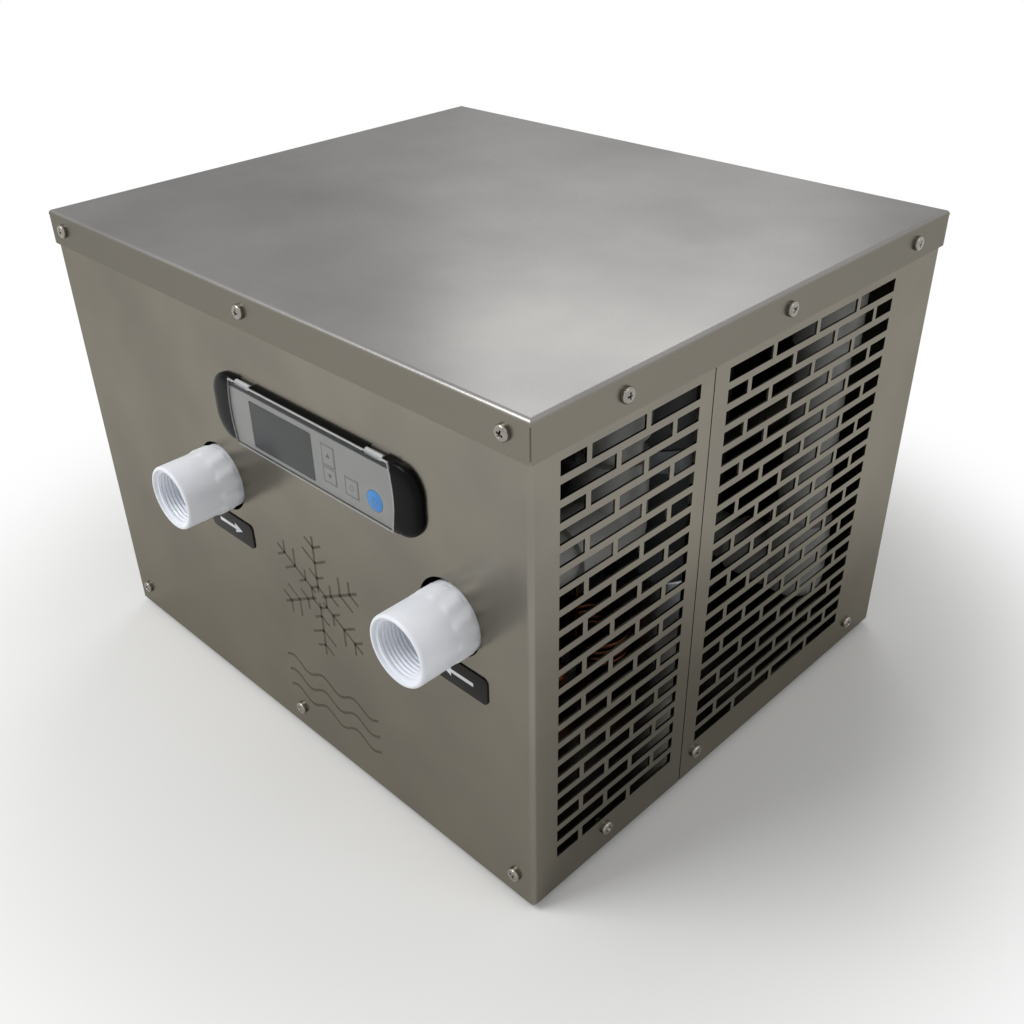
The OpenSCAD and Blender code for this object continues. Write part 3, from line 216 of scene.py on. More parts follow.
# Glass-epoxy circuit board with green solder mask
BOARD = surface("green_solder_mask", "#1F5A3A", "#1A4F33", 0.38, 0.05, 9, 0.6, 0.01)
# Extruded PVC cable jacket
CABLE = surface("black_pvc_jacket", "#171717", "#1E1E1E", 0.46, 0.06, 12, 0.9, 0.01)
# Glass-filled nylon mouldings: black with a faint fibre sheen
NYLON = surface("black_glass_filled_nylon", "#1A1B1C", "#222324", 0.44, 0.07, 14, 0.6, 0.02)
# Ivory thermoplastic terminal strip
IVORY = surface("ivory_thermoplastic", "#E2DCC8", "#D8D1BB", 0.42, 0.06, 12, 0.8, 0.01)

NODE_FINISHES = {
    "base_pan": WRAP_STEEL, "front_wrap": WRAP_STEEL, "rear_wrap": WRAP_STEEL,
    "top_cover": LID_STEEL,
    "case_screws": SCREW_STEEL, "rubber_feet": RUBBER, "inlet_fitting": FITTING_PVC,
    "outlet_fitting": FITTING_PVC, "inlet_pipes": PIPE_PVC, "inlet_elbow": PIPE_PVC,
    "outlet_pipes": PIPE_PVC, "outlet_elbows": PIPE_PVC, "inlet_label": LABEL_BLACK,
    "outlet_label": LABEL_BLACK, "barrel_shell": BARREL_PVC, "barrel_top_cap": BARREL_PVC,
    "barrel_bottom_cap": BARREL_PVC, "titanium_coil": TITANIUM, "barrel_strap": ZINC,
    "controller_bezel": GLOSS_BLACK, "controller_housing": NYLON, "controller_face": GREY_FILM,
    "controller_board": BOARD, "controller_clamps": ZINC, "display_window": LCD_GLASS,
    "up_key": GREY_FILM, "down_key": GREY_FILM, "set_key": GREY_FILM, "power_key": BLUE_KEY,
    "clear_cover": CLEAR_ACRYLIC, "cover_hinge_pins": SCREW_STEEL, "compressor_can": BLACK_ENAMEL,
    "compressor_feet": BLACK_ENAMEL, "compressor_grommets": RUBBER, "compressor_studs": SCREW_STEEL,
    "terminal_cover": NYLON, "suction_accumulator": BLACK_ENAMEL, "condenser_fins": ALUMINIUM,
    "condenser_tube": COPPER, "condenser_plates": ZINC, "fan_shroud": ZINC, "fan_rotor": NYLON,
    "fan_shaft": SCREW_STEEL, "fan_motor": BLACK_ENAMEL, "fan_bracket": ZINC,
    "discharge_tube": COPPER,
    "suction_tube": COPPER, "liquid_tube": COPPER, "filter_drier": COPPER, "capillary_tube": COPPER,
    "sensor_probe": SCREW_STEEL, "sensor_cable": CABLE, "run_capacitor": ALUMINIUM,
    "capacitor_clip": ZINC, "terminal_block": IVORY, "gland_body": NYLON, "gland_nut": NYLON,
    "gland_lock_nut": NYLON, "mains_cables": CABLE,
}
for node_name, finish in NODE_FINISHES.items():
    node_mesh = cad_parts[node_name].data
    node_mesh.materials.clear()
    node_mesh.materials.append(finish)

# Mesh tools


def keep_piece(bm, name, finish, stands_for=(), body="case", crease=35):
    """Turns a mesh in millimetres into an object that rides on a body and stands for CAD nodes."""
    bmesh.ops.remove_doubles(bm, verts=bm.verts, dist=0.0005)
    bmesh.ops.recalc_face_normals(bm, faces=bm.faces)
    for vert in bm.verts:
        vert.co = in_frame(vert.co)
    mesh = bpy.data.meshes.new(name)
    bm.to_mesh(mesh)
    bm.free()
    return keep_mesh(mesh, name, finish, stands_for, body, crease)


def keep_mesh(mesh, name, finish, stands_for=(), body="case", crease=35):
    """Makes an object of a mesh that already lies in the frame's metres."""
    mesh.materials.clear()
    mesh.materials.append(finish)
    mesh.shade_smooth()
    mesh.set_sharp_from_angle(angle=math.radians(crease))
    obj = bpy.data.objects.new(name, mesh)
    bpy.context.scene.collection.objects.link(obj)
    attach(obj, body)
    if stands_for:
        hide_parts(*stands_for)
    return obj


def skin(bm, rings, closed=False):
    """Joins rings of points with quads; a ring of one point is a pole, and open ends are capped."""
    made = [[bm.verts.new(p) for p in ring] for ring in rings]
    pairs = list(zip(made, made[1:])) + ([(made[-1], made[0])] if closed else [])
    for a, b in pairs:
        for i in range(max(len(a), len(b))):
            corners = [a[i % len(a)], a[(i + 1) % len(a)], b[(i + 1) % len(b)], b[i % len(b)]]
            corners = [c for k, c in enumerate(corners) if c not in corners[:k]]
            if len(corners) > 2:
                bm.faces.new(corners)
    if not closed:
        for end in (made[0], made[-1]):
            if len(end) > 2:
                bm.faces.new(end)


def turned(bm, profile, place, axis, steps=72, closed=False):
    """Turns (radius, distance) pairs round an axis through a place."""
    to_axis = Vector((0, 0, 1)).rotation_difference(Vector(axis)).to_matrix()
    rings = []
    for r, h in profile:
        count = steps if r > 0.001 else 1
        rings.append([Vector(place) + to_axis @ Vector((r * math.cos(math.tau * i / steps),
                                                         r * math.sin(math.tau * i / steps), h))
                      for i in range(count)])
    skin(bm, rings, closed)


def rounded(w, h, r, inset=0.0, steps=8):
    """Outline of a round-cornered rectangle, pulled in by an inset."""
    r = max(r - inset, 0.01)
    x, z = w / 2 - inset - r, h / 2 - inset - r
    points = []
    for k, (sx, sz) in enumerate([(1, 1), (-1, 1), (-1, -1), (1, -1)]):
        for i in range(steps + 1):
            a = math.pi / 2 * (k + i / steps)
            points.append((sx * x + r * math.cos(a), sz * z + r * math.sin(a)))
    return points


def bowed(w, low, high, inset=0.0, steps=12):
    """Outline between two heights whose left and right ends are arcs."""
    r = FACE_ARC_R - inset
    middle = w / 2 - FACE_ARC_R
    low, high = low + inset, high - inset
    a0, a1 = math.asin(low / r), math.asin(high / r)
    angles = [a0 + (a1 - a0) * i / steps for i in range(steps + 1)]
    right = [(middle + r * math.cos(a), r * math.sin(a)) for a in angles]
    left = [(-x, z) for x, z in reversed(right)]
    return right + left


def plate(bm, outline, place, back, front, edge=0.0, steps=4):
    """Slab of an outline on the panel, from one depth to another, with a rounded front edge."""
    levels = [(0.0, back), (0.0, front - edge)]
    if edge:
        angles = [math.pi / 2 * k / steps for k in range(1, steps + 1)]
        levels += [(edge * (1 - math.cos(a)), front - edge + edge * math.sin(a)) for a in angles]
    skin(bm, [[(place[0] + x, -depth, place[1] + z) for x, z in outline(inset)]
              for inset, depth in levels])


def block(low, high, edge=0.0, segments=3):
    """Box between two corners with rounded edges."""
    bm = bmesh.new()
    size = [b - a for a, b in zip(low, high)]
    middle = [(a + b) / 2 for a, b in zip(low, high)]
    place = Matrix.Translation(middle) @ Matrix.Diagonal(size + [1])
    made = bmesh.ops.create_cube(bm, size=1.0, matrix=place)
    if edge:
        edges = {e for v in made["verts"] for e in v.link_edges}
        bmesh.ops.bevel(bm, geom=list(edges), offset=edge, segments=segments, affect="EDGES",
                        profile=0.5)
    return bm


def combined(base, steps):
    """Cuts or joins closed meshes, one after another, and gives the result as a new mesh."""
    def as_object(bm):
        bmesh.ops.remove_doubles(bm, verts=bm.verts, dist=0.0005)
        bmesh.ops.recalc_face_normals(bm, faces=bm.faces)
        mesh = bpy.data.meshes.new("working")
        bm.to_mesh(mesh)
        bm.free()
        obj = bpy.data.objects.new("working", mesh)
        bpy.context.scene.collection.objects.link(obj)
        return obj

    target = as_object(base)
    others = []
    for operation, bm in steps:
        others.append(as_object(bm))
        boolean = target.modifiers.new("step", "BOOLEAN")
        boolean.operation = operation
        boolean.solver = "EXACT"
        boolean.object = others[-1]
    graph = bpy.context.evaluated_depsgraph_get()
    mesh = bpy.data.meshes.new_from_object(target.evaluated_get(graph))
    result = bmesh.new()
    result.from_mesh(mesh)
    for obj in [target] + others:
        bpy.data.objects.remove(obj)
    return result


def bent_path(points, bend, steps=8):
    """A route with its corners rounded to a bend radius."""
    points = [Vector(p) for p in points]
    path = [points[0]]
    for before, corner, after in zip(points, points[1:], points[2:]):
        a, b = (before - corner).normalized(), (after - corner).normalized()
        half = a.angle(b) / 2
        if half > math.radians(89):
            path.append(corner)
            continue
        # Two bends on one straight take less than half of it each
        most = 0.48 * min((before - corner).length, (after - corner).length)
        reach = min(bend / math.tan(half), most)
        r = reach * math.tan(half)
        centre = corner + (a + b).normalized() * (r / math.sin(half))
        start, end = corner + a * reach - centre, corner + b * reach - centre
        turn = start.angle(end)
        axis = start.cross(end).normalized()
        path += [centre + Matrix.Rotation(turn * k / steps, 3, axis) @ start
                 for k in range(steps + 1)]
    return path + [points[-1]]


def tube(bm, path, radius, sides=14):
    """Round tube along a path, capped at both ends."""
    path = [Vector(p) for p in path]
    side = None
    rings = []
    for i, p in enumerate(path):
        way = (path[min(i + 1, len(path) - 1)] - path[max(i - 1, 0)]).normalized()
        side = way.orthogonal() if side is None else side - way * side.dot(way)
        side.normalize()
        other = way.cross(side)
        rings.append([p + radius * (math.cos(math.tau * k / sides) * side
                                    + math.sin(math.tau * k / sides) * other)
                      for k in range(sides)])
    skin(bm, rings)


def smooth_route(points, steps=8):
    """A soft curve through every point, for wires."""
    pts = [Vector(p) for p in points]
    pts = [2 * pts[0] - pts[1]] + pts + [2 * pts[-1] - pts[-2]]
    path = []
    for p0, p1, p2, p3 in zip(pts, pts[1:], pts[2:], pts[3:]):
        for k in range(steps):
            t = k / steps
            path.append(0.5 * (2 * p1 + (p2 - p0) * t + (2 * p0 - 5 * p1 + 4 * p2 - p3) * t ** 2
                               + (3 * p1 - p0 - 3 * p2 + p3) * t ** 3))
    return path + [pts[-2]]


# Copies by Geometry Nodes


def copies_tree():
    """Puts a copy of a shape at each point, aimed along the point's vector and turned round it."""
    tree = bpy.data.node_groups.new("aimed_copies", "GeometryNodeTree")
    for name, kind, way in (("Points", "Geometry", "INPUT"), ("Shape", "Object", "INPUT"),
                            ("Size", "Float", "INPUT"), ("Finish", "Material", "INPUT"),
                            ("Copies", "Geometry", "OUTPUT")):
        tree.interface.new_socket(name, in_out=way, socket_type="NodeSocket" + kind)
    given = add(tree, "NodeGroupInput")
    shape = add(tree, "GeometryNodeObjectInfo", {"Object": given.outputs["Shape"]})
    aim = add(tree, "GeometryNodeInputNamedAttribute", {"Name": "aim"}, data_type="FLOAT_VECTOR")
    turn = add(tree, "GeometryNodeInputNamedAttribute", {"Name": "turn"}, data_type="FLOAT")
    aimed = add(tree, "FunctionNodeAlignRotationToVector", {"Vector": aim.outputs[0]}, axis="Z")
    spin = add(tree, "FunctionNodeAxisAngleToRotation", {"Axis": (0, 0, 1),
                                                         "Angle": turn.outputs[0]})
    both = add(tree, "FunctionNodeRotateRotation", {"Rotation": aimed.outputs[0],
                                                    "Rotate By": spin.outputs[0]},
               rotation_space="LOCAL")
    placed = add(tree, "GeometryNodeInstanceOnPoints", {
        "Points": given.outputs["Points"], "Instance": shape.outputs["Geometry"],
        "Rotation": both.outputs[0], "Scale": given.outputs["Size"]})
    real = add(tree, "GeometryNodeRealizeInstances", {"Geometry": placed.outputs[0]})
    painted = add(tree, "GeometryNodeSetMaterial", {"Geometry": real.outputs[0],
                                                    "Material": given.outputs["Finish"]})
    add(tree, "NodeGroupOutput", {"Copies": painted.outputs[0]})
    return tree


COPIES = copies_tree()


def copied(places, shape, size, finish, name, stands_for, body="case", crease=35):
    """Copies of a shape, scaled by a size in mm, at each (place, aim, turn), as one plain mesh."""
    shape_mesh = bpy.data.meshes.new("shape")
    bmesh.ops.remove_doubles(shape, verts=shape.verts, dist=0.00001)
    bmesh.ops.recalc_face_normals(shape, faces=shape.faces)
    shape.to_mesh(shape_mesh)
    shape.free()
    shape_obj = bpy.data.objects.new("shape", shape_mesh)
    points = bpy.data.meshes.new("points")
    points.from_pydata([in_frame(p) for p, _, _ in places], [], [])
    points.attributes.new("aim", "FLOAT_VECTOR", "POINT")
    points.attributes.new("turn", "FLOAT", "POINT")
    points.attributes["aim"].data.foreach_set("vector", [c for _, aim, _ in places for c in aim])
    points.attributes["turn"].data.foreach_set("value", [turn for _, _, turn in places])
    holder = bpy.data.objects.new("points", points)
    for obj in (shape_obj, holder):
        bpy.context.scene.collection.objects.link(obj)
    mod = holder.modifiers.new("copies", "NODES")
    mod.node_group = COPIES
    sockets = {s.name: s.identifier for s in COPIES.interface.items_tree}
    mod[sockets["Shape"]] = shape_obj
    mod[sockets["Size"]] = size / 1000
    mod[sockets["Finish"]] = finish
    graph = bpy.context.evaluated_depsgraph_get()
    mesh = bpy.data.meshes.new_from_object(holder.evaluated_get(graph))
    for obj in (holder, shape_obj):
        bpy.data.objects.remove(obj)
    mesh.name = name
    return keep_mesh(mesh, name, finish, stands_for, body, crease)


# Case screws and feet


def screw_shape():
    """Pan head of radius 1 with a cross recess and a shank, its seat at Z = 0."""
    head, high, crown = 1.0, 0.575, 0.3
    bm = bmesh.new()
    profile = [(0, -1.6), (0.46, -1.6), (0.46, 0), (head - 0.03, 0), (head, 0.04)]
    profile += [(head - crown + crown * math.cos(a), high - crown + crown * math.sin(a))
                for a in [math.pi / 2 * k / 5 for k in range(6)]]
    profile += [(0, high + 0.03)]
    turned(bm, profile, (0, 0, 0), (0, 0, 1), 32)
    for turn in (0, 90):
        arm = bmesh.new()
        skin(arm, [[(x * wide, y * thick, z) for x, y in ((1, 1), (-1, 1), (-1, -1), (1, -1))]
                   for wide, thick, z in ((0.55, 0.13, high + 0.1), (0.2, 0.09, high - 0.42))])
        bmesh.ops.rotate(arm, verts=arm.verts, matrix=Matrix.Rotation(math.radians(turn), 3, "Z"))
        bm = combined(bm, [("DIFFERENCE", arm)])
    return bm


def screw_places():
    """Seat, outward direction and turn of all the case screws."""
    high, low = TOP_Z - 11, PAN_Z + 15.5
    flange = 1.3
    wall_x = 213.7
    places = []
    for z, out in ((high, flange), (low, 0.0)):
        for x in (-199, 0, 199):
            places.append(((x, -out, z), (0, -1, 0)))
            places.append(((x, BACK_Y + out, z), (0, 1, 0)))
    for s in (-1, 1):
        for y in (61.53, 195.57, 329.6):
            places.append(((s * (wall_x + flange), y, high), (s, 0, 0)))
        for y in (61.53, 148.2, 329.6):
            places.append(((s * wall_x, y, low), (s, 0, 0)))
    return [(p, aim, 0.7 * i) for i, (p, aim) in enumerate(places)]


copied(screw_places(), screw_shape(), 4.3, SCREW_STEEL, "case_screws_cross_head",
       ["case_screws"], crease=30)


def feet():
    """Four moulded feet, each with a plug that snaps into the pan."""
    sole = [(0, -5), (11.4, -5), (12.6, -4.6), (13, -3.8), (13, -0.9), (12.5, 0)]
    plug = [(4, 0), (4, 1.35), (4.6, 1.35), (4.6, 2.4), (3.4, 3.7), (0, 3.7)]
    foot_x, foot_in = 179.7, 34
    bm = bmesh.new()
    for s in (-1, 1):
        for y in (foot_in, BACK_Y - foot_in):
            turned(bm, sole + plug, (s * foot_x, y, PAN_Z), (0, 0, 1), 48)
    keep_piece(bm, "rubber_feet_moulded", RUBBER, ["rubber_feet"])


feet()

# Water fittings and plates


def fitting(x, name, node):
    """Threaded adapter: rounded mouth, internal pipe thread and moulded flats near the panel."""
    steps, flats = 96, 12
    neck, outer = 20.2, 20.6
    pitch, crest, root = 2.31, 16.0, 16.95
    socket, water = 16.8, 13.3
    mouth, thread_start, thread_end, socket_end, back = 37.5, 35.1, 11.5, -8.5, -36.5
    rings = []

    def ring(out, radius_at):
        circle = [(math.tau * i / steps, radius_at(i / steps)) for i in range(steps)]
        rings.append([(x + r * math.cos(a), -out, PORT_Z + r * math.sin(a)) for a, r in circle])

    for r, out in [(neck, back), (neck, -2.2), (outer, -2.2), (outer, 0.9)]:
        ring(out, lambda t: r)
    for corner, middle, out in [(20.8, 20.6, 1.2), (21.4, 20.5, 2.4), (21.45, 20.45, 11.8),
                                (21.2, 20.4, 13.0), (20.7, 20.55, 14.4)]:
        ring(out, lambda t: corner + (middle - corner)
             * ((1 - math.cos(flats * math.tau * t)) / 2) ** 0.8)
    for r, inwards in [(outer, 22.1), (outer, 1.9), (20.45, 1.0), (20.1, 0.4), (19.6, 0.08),
                       (19.2, 0), (18.7, 0.06), (18.35, 0.35), (18.2, 0.9), (18.1, 1.9),
                       (17.2, 2.2)]:
        ring(mouth - inwards, lambda t: r)
    turns = (thread_start - thread_end) / pitch
    levels = int(turns * 6)
    for k in range(levels + 1):
        fade = min(1, k / 5, (levels - k) / 5)
        ring(thread_start - (thread_start - thread_end) * k / levels,
             lambda t: crest + (root - crest) * fade
             * (0.5 - 0.5 * math.cos(math.tau * ((k / levels * turns + t) % 1)))
             + (1 - fade) * 0.3)
    for r, out in [(crest, thread_end - 0.2), (15.2, thread_end - 0.5), (13.6, thread_end - 0.6),
                   (water, thread_end - 0.9), (water, socket_end), (socket, socket_end),
                   (socket, back)]:
        ring(out, lambda t: r)
    bm = bmesh.new()
    skin(bm, rings, closed=True)
    keep_piece(bm, name, FITTING_PVC, [node], crease=28)


fitting(INLET_X, "inlet_fitting_threaded", "inlet_fitting")
fitting(OUTLET_X, "outlet_fitting_threaded", "outlet_fitting")


def label(x, name, node, way):
    """Black plate with a plain arrow, to the right for a way of 1 and to the left for -1."""
    centre = (x + 2, PORT_Z - 35.4)
    bm = bmesh.new()
    plate(bm, lambda inset: rounded(47, 17.5, 3.5, inset), centre, 0, 0.8, 0.25)
    keep_piece(bm, name, LABEL_BLACK, [node])
    mark = bmesh.new()
    arrow = [(-13, -1.2), (4, -1.2), (4, -3.6), (12, 0), (4, 3.6), (4, 1.2), (-13, 1.2)]
    arrow = [(way * a, b) for a, b in arrow][::way]
    skin(mark, [[(centre[0] + a, -depth, centre[1] + b) for a, b in arrow]
                for depth in (0.76, 0.84)])
    keep_piece(mark, name + "_arrow", PALE_PRINT)


label(INLET_X, "inlet_label_plate", "inlet_label", 1)
label(OUTLET_X, "outlet_label_plate", "outlet_label", -1)

# Etched mark on the panel


def line(a, b, width):
    """Outline of a straight line of some width."""
    a, b = Vector(a), Vector(b)
    side = Vector((-(b - a).y, (b - a).x)).normalized() * width / 2
    return [tuple(p) for p in (a - side, b - side, b + side, a + side)]


def etched_mark():
    """Six-armed snow crystal over three water lines, in thin flat strips."""
    bm = bmesh.new()

    def strip(a, b, width):
        skin(bm, [[(x, -depth, z) for x, z in line(a, b, width)] for depth in (0.0, 0.04)])

    middle = Vector((38, 132))
    for k in range(6):
        way = Matrix.Rotation(math.radians(60 * k + 30), 2) @ Vector((1, 0))
        strip(middle + way * 4, middle + way * 44, 1.9)
        for along, reach in ((14, 8), (25, 13), (36, 9)):
            for s in (-1, 1):
                twig = Matrix.Rotation(math.radians(s * 60), 2) @ way
                strip(middle + way * along, middle + way * along + twig * reach, 1.7)
        near = Matrix.Rotation(math.radians(60), 2) @ way
        strip(middle + way * 8, middle + near * 8, 1.7)
    for row in range(3):
        z = 62 - 13 * row
        wave = [Vector((x, z + 3.2 * math.sin(math.tau * (x + 9) / 31.0))) for x in
                [-8 + 92 * k / 48 for k in range(49)]]
        for a, b in zip(wave, wave[1:]):
            strip(a, b, 1.9)
    keep_piece(bm, "etched_snow_crystal", ETCHED)


etched_mark()

# Controller


def hinge_bore(s, half):
    """Pin hole on the cover's hinge line, at one end of the controller."""
    bm = bmesh.new()
    turned(bm, [(0, -half), (PIN_R, -half), (PIN_R, half), (0, half)],
           (CTRL_X + s * HINGE_X, -HINGE_DEPTH, CTRL_Z + HINGE_Z), (1, 0, 0), 20)
    return bm


def bezel():
    """Gloss bezel with pillow ends, a rail over the face and a base frame behind it."""
    thick, sag, base = 6.2, 2.2, 1.8

    def outline(inset):
        return rounded(BEZEL_W, BEZEL_H, BEZEL_CORNER, inset, 14)

    def depth_at(x, share):
        return (thick - sag * (x / (BEZEL_W / 2)) ** 2) * share

    rings = [[(CTRL_X + x, 0, CTRL_Z + z) for x, z in outline(0)]]
    for inset, share in ((0, 0.30), (0.12, 0.42), (0.4, 0.58), (0.9, 0.72), (1.7, 0.84),
                         (2.8, 0.92), (4.4, 0.97), (7.0, 1.0), (12.0, 1.0)):
        rings.append([(CTRL_X + x, -depth_at(x, share), CTRL_Z + z) for x, z in outline(inset)])
    body = bmesh.new()
    skin(body, rings)
    recess = bmesh.new()
    plate(recess, lambda inset: bowed(FACE_W, -30, 30, inset), (CTRL_X, CTRL_Z), base, 12)
    opening = block((CTRL_X - 71.7, -5, CTRL_Z - 15.1), (CTRL_X + 71.7, 2, CTRL_Z + 15.1))
    # Room for the cover's upper corners as it swings
    swing = block((CTRL_X - 71.05, -12, CTRL_Z + 15.7), (CTRL_X + 71.05, -base, CTRL_Z + 30))
    half = FACE_W / 2
    rail = block((CTRL_X - half, -3.1, CTRL_Z + 15.7), (CTRL_X + half, -0.9, CTRL_Z + 20.95), 0.35)
    rim = block((CTRL_X - half, -3.1, CTRL_Z - 20.95), (CTRL_X + half, -0.9, CTRL_Z - 20.2), 0.15)
    steps = [("DIFFERENCE", recess), ("DIFFERENCE", opening), ("DIFFERENCE", swing),
             ("UNION", rail), ("UNION", rim)]
    for s in (-1, 1):
        x = CTRL_X + s * HINGE_X
        notch = block((x - 7.1, -12, CTRL_Z + 18.25), (x + 7.1, 4, CTRL_Z + 25))
        steps += [("DIFFERENCE", notch), ("DIFFERENCE", hinge_bore(s, 9.4))]
    keep_piece(combined(body, steps), "controller_bezel_gloss", GLOSS_BLACK,
               ["controller_bezel"], crease=32)


def cover():
    """Clear flip cover with a bevelled edge, two tabs and two hinge knuckles."""
    body = bmesh.new()
    plate(body, lambda inset: bowed(144.8, -20.8, 20.8, inset), (CTRL_X, CTRL_Z), 3.7, 4.9, 0.6)
    steps = []
    for s in (-1, 1):
        x = CTRL_X + s * HINGE_X
        tab = block((x - 6.75, -4.85, CTRL_Z + 18.6), (x + 6.75, -HINGE_DEPTH, CTRL_Z + 20.8),
                    0.25, 2)
        knuckle = bmesh.new()
        turned(knuckle, [(0, -6.75), (1.2, -6.75), (1.4, -6.55), (1.4, 6.55), (1.2, 6.75),
                         (0, 6.75)], (x, -HINGE_DEPTH, CTRL_Z + HINGE_Z), (1, 0, 0), 28)
        steps += [("UNION", tab), ("UNION", knuckle), ("DIFFERENCE", hinge_bore(s, 7.5))]
    obj = keep_piece(combined(body, steps), "clear_cover_acrylic", CLEAR_ACRYLIC,
                     ["clear_cover"], "cover", crease=30)
    # Painted highlight: faces that don't face front or back take the pale edge colour
    obj.data.materials.append(ACRYLIC_EDGE)
    for face in obj.data.polygons:
        face.material_index = int(abs(face.normal.y) < 0.9)


def printed(outlines, place, depth, name, finish, body):
    """Thin screen-printed shapes on a face of the controller."""
    bm = bmesh.new()
    for outer in outlines:
        skin(bm, [[(place[0] + x, -d, place[1] + z) for x, z in outer]
                  for d in (depth, depth + 0.06)])
    keep_piece(bm, name, finish, body=body)


def arc(r, start, end, width, steps=20):
    """Short printed lines along an arc, in degrees."""
    angles = [math.radians(start + (end - start) * k / steps) for k in range(steps + 1)]
    points = [(r * math.cos(a), r * math.sin(a)) for a in angles]
    return [line(a, b, width) for a, b in zip(points, points[1:])]


def key(dx, dz, h, name, node, body, marks):
    """Square key with soft edges, a thin printed border and a plain printed sign."""
    place = (CTRL_X + dx, CTRL_Z + dz)
    bm = bmesh.new()
    plate(bm, lambda inset: rounded(10.8, h, 0.6, inset), place, 0.6, 3.3, 0.2)
    keep_piece(bm, name, GREY_FILM, [node], body)
    x, z = 5.0, h / 2 - 0.4
    corners = [(-x, -z), (x, -z), (x, z), (-x, z)]
    border = [line(a, b, 0.4) for a, b in zip(corners, corners[1:] + corners[:1])]
    printed(marks + border, place, 3.27, name + "_sign", DARK_PRINT, body)


def power_key():
    """Round blue key with a paler rim and the common power sign."""
    place = (CTRL_X + 55.2, CTRL_Z - 8.5)
    bm = bmesh.new()
    turned(bm, [(0, 0.6), (6.2, 0.6), (6.2, 3.05), (6.15, 3.2), (6.0, 3.3), (0, 3.3)],
           (place[0], 0, place[1]), (0, -1, 0), 48)
    keep_piece(bm, "power_key_round", BLUE_KEY, ["power_key"], "key_power")
    marks = arc(1.9, 125, 415, 0.35) + [line((0, 0.7), (0, 2.6), 0.35)]
    printed(marks, place, 3.27, "power_key_sign", DARK_PRINT, "key_power")


bezel()
cover()
key(18.15, 3.7, 12.6, "up_key_soft", "up_key", "key_up", [[(-1.8, -1.0), (1.8, -1.0), (0, 1.8)]])
key(18.15, -8.5, 9.8, "down_key_soft", "down_key", "key_down",
    [[(-1.8, 1.0), (0, -1.8), (1.8, 1.0)]])
key(36.6, -8.5, 11, "set_key_soft", "set_key", "key_set", arc(1.6, 0, 360, 0.4, 24))
power_key()

# Refrigeration


def can():
    """Compressor can with domed ends and a welded seam round it."""
    r, dome, bead = 55, 24, 128
    profile = [(0, COMP_LOW)]
    profile += [(r - dome + dome * math.cos(a), COMP_LOW + dome + dome * math.sin(a))
                for a in [math.radians(-90 + 90 * k / 10) for k in range(11)]]
    profile += [(r, bead - 4), (r, bead - 2.2), (r - 0.35, bead - 1.8), (r - 0.02, bead),
                (r - 0.35, bead + 1.8), (r, bead + 2.2), (r, bead + 4)]
    profile += [(r - dome + dome * math.cos(a), COMP_TOP - dome + dome * math.sin(a))
                for a in [math.radians(90 * k / 10) for k in range(11)]]
    bm = bmesh.new()
    turned(bm, profile + [(0, COMP_TOP)], (COMPRESSOR[0], COMPRESSOR[1], 0), (0, 0, 1), 72)
    keep_piece(bm, "compressor_can_welded", BLACK_ENAMEL, ["compressor_can"])


can()


def routed(name, node, paths, radius, finish, sides=14):
    """One or more tubes along routes, standing for a CAD node."""
    bm = bmesh.new()
    for path in paths:
        tube(bm, path, radius, sides)
    keep_piece(bm, name, finish, [node], crease=60)


def refrigerant_tubes():
    """The four tubes of the circuit, along the same routes as the solids."""
    cx, cy = COMPRESSOR
    bx, by = BARREL
    top_z, low_z, front = ROOF_Z - 24, 30.2, 20
    routed("discharge_tube_bent", "discharge_tube",
           [bent_path([(cx, cy - 9, COMP_TOP - 1), (cx, cy - 9, top_z), (cx, front, top_z),
                       (PASS_X, front, top_z), (PASS_X, front, PASS_HIGH),
                       (PASS_X, 34.5, PASS_HIGH)], 14)], 4.75, COPPER)
    accumulator = [c + 84 * f(math.radians(62)) for c, f in ((cx, math.cos), (cy, math.sin))]
    routed("suction_tube_bent", "suction_tube",
           [bent_path([(bx + 12, by, 276.2), (bx + 12, by, 290.2), (*accumulator, 290.2),
                       (*accumulator, 175.2)], 16)], 5.5, COPPER)
    routed("liquid_tube_bent", "liquid_tube",
           [bent_path([(PASS_X, 34.5, PASS_LOW), (PASS_X, front, PASS_LOW),
                       (PASS_X, front, low_z), (DRIER_X, front, low_z), (DRIER_X, 52, low_z)],
                      10)], 3.2, COPPER)
    loop_r, loop_rise, loops, loop_y, run_z = 22, 5, 4, 176, 279.2
    coil = [(DRIER_X, 144, low_z)]
    coil += [(DRIER_X + loop_r * math.cos(a), loop_y + loop_r * math.sin(a),
              low_z + loop_rise * (a + math.pi / 2) / math.tau)
             for a in [math.radians(-90 + 360 * k / 32) for k in range(loops * 32 + 1)]]
    coil += [(DRIER_X, loop_y - loop_r, run_z), (bx - 12, by, run_z), (bx - 12, by, 276.2)]
    routed("capillary_tube_coiled", "capillary_tube", [coil], 1.5, COPPER, 10)


refrigerant_tubes()


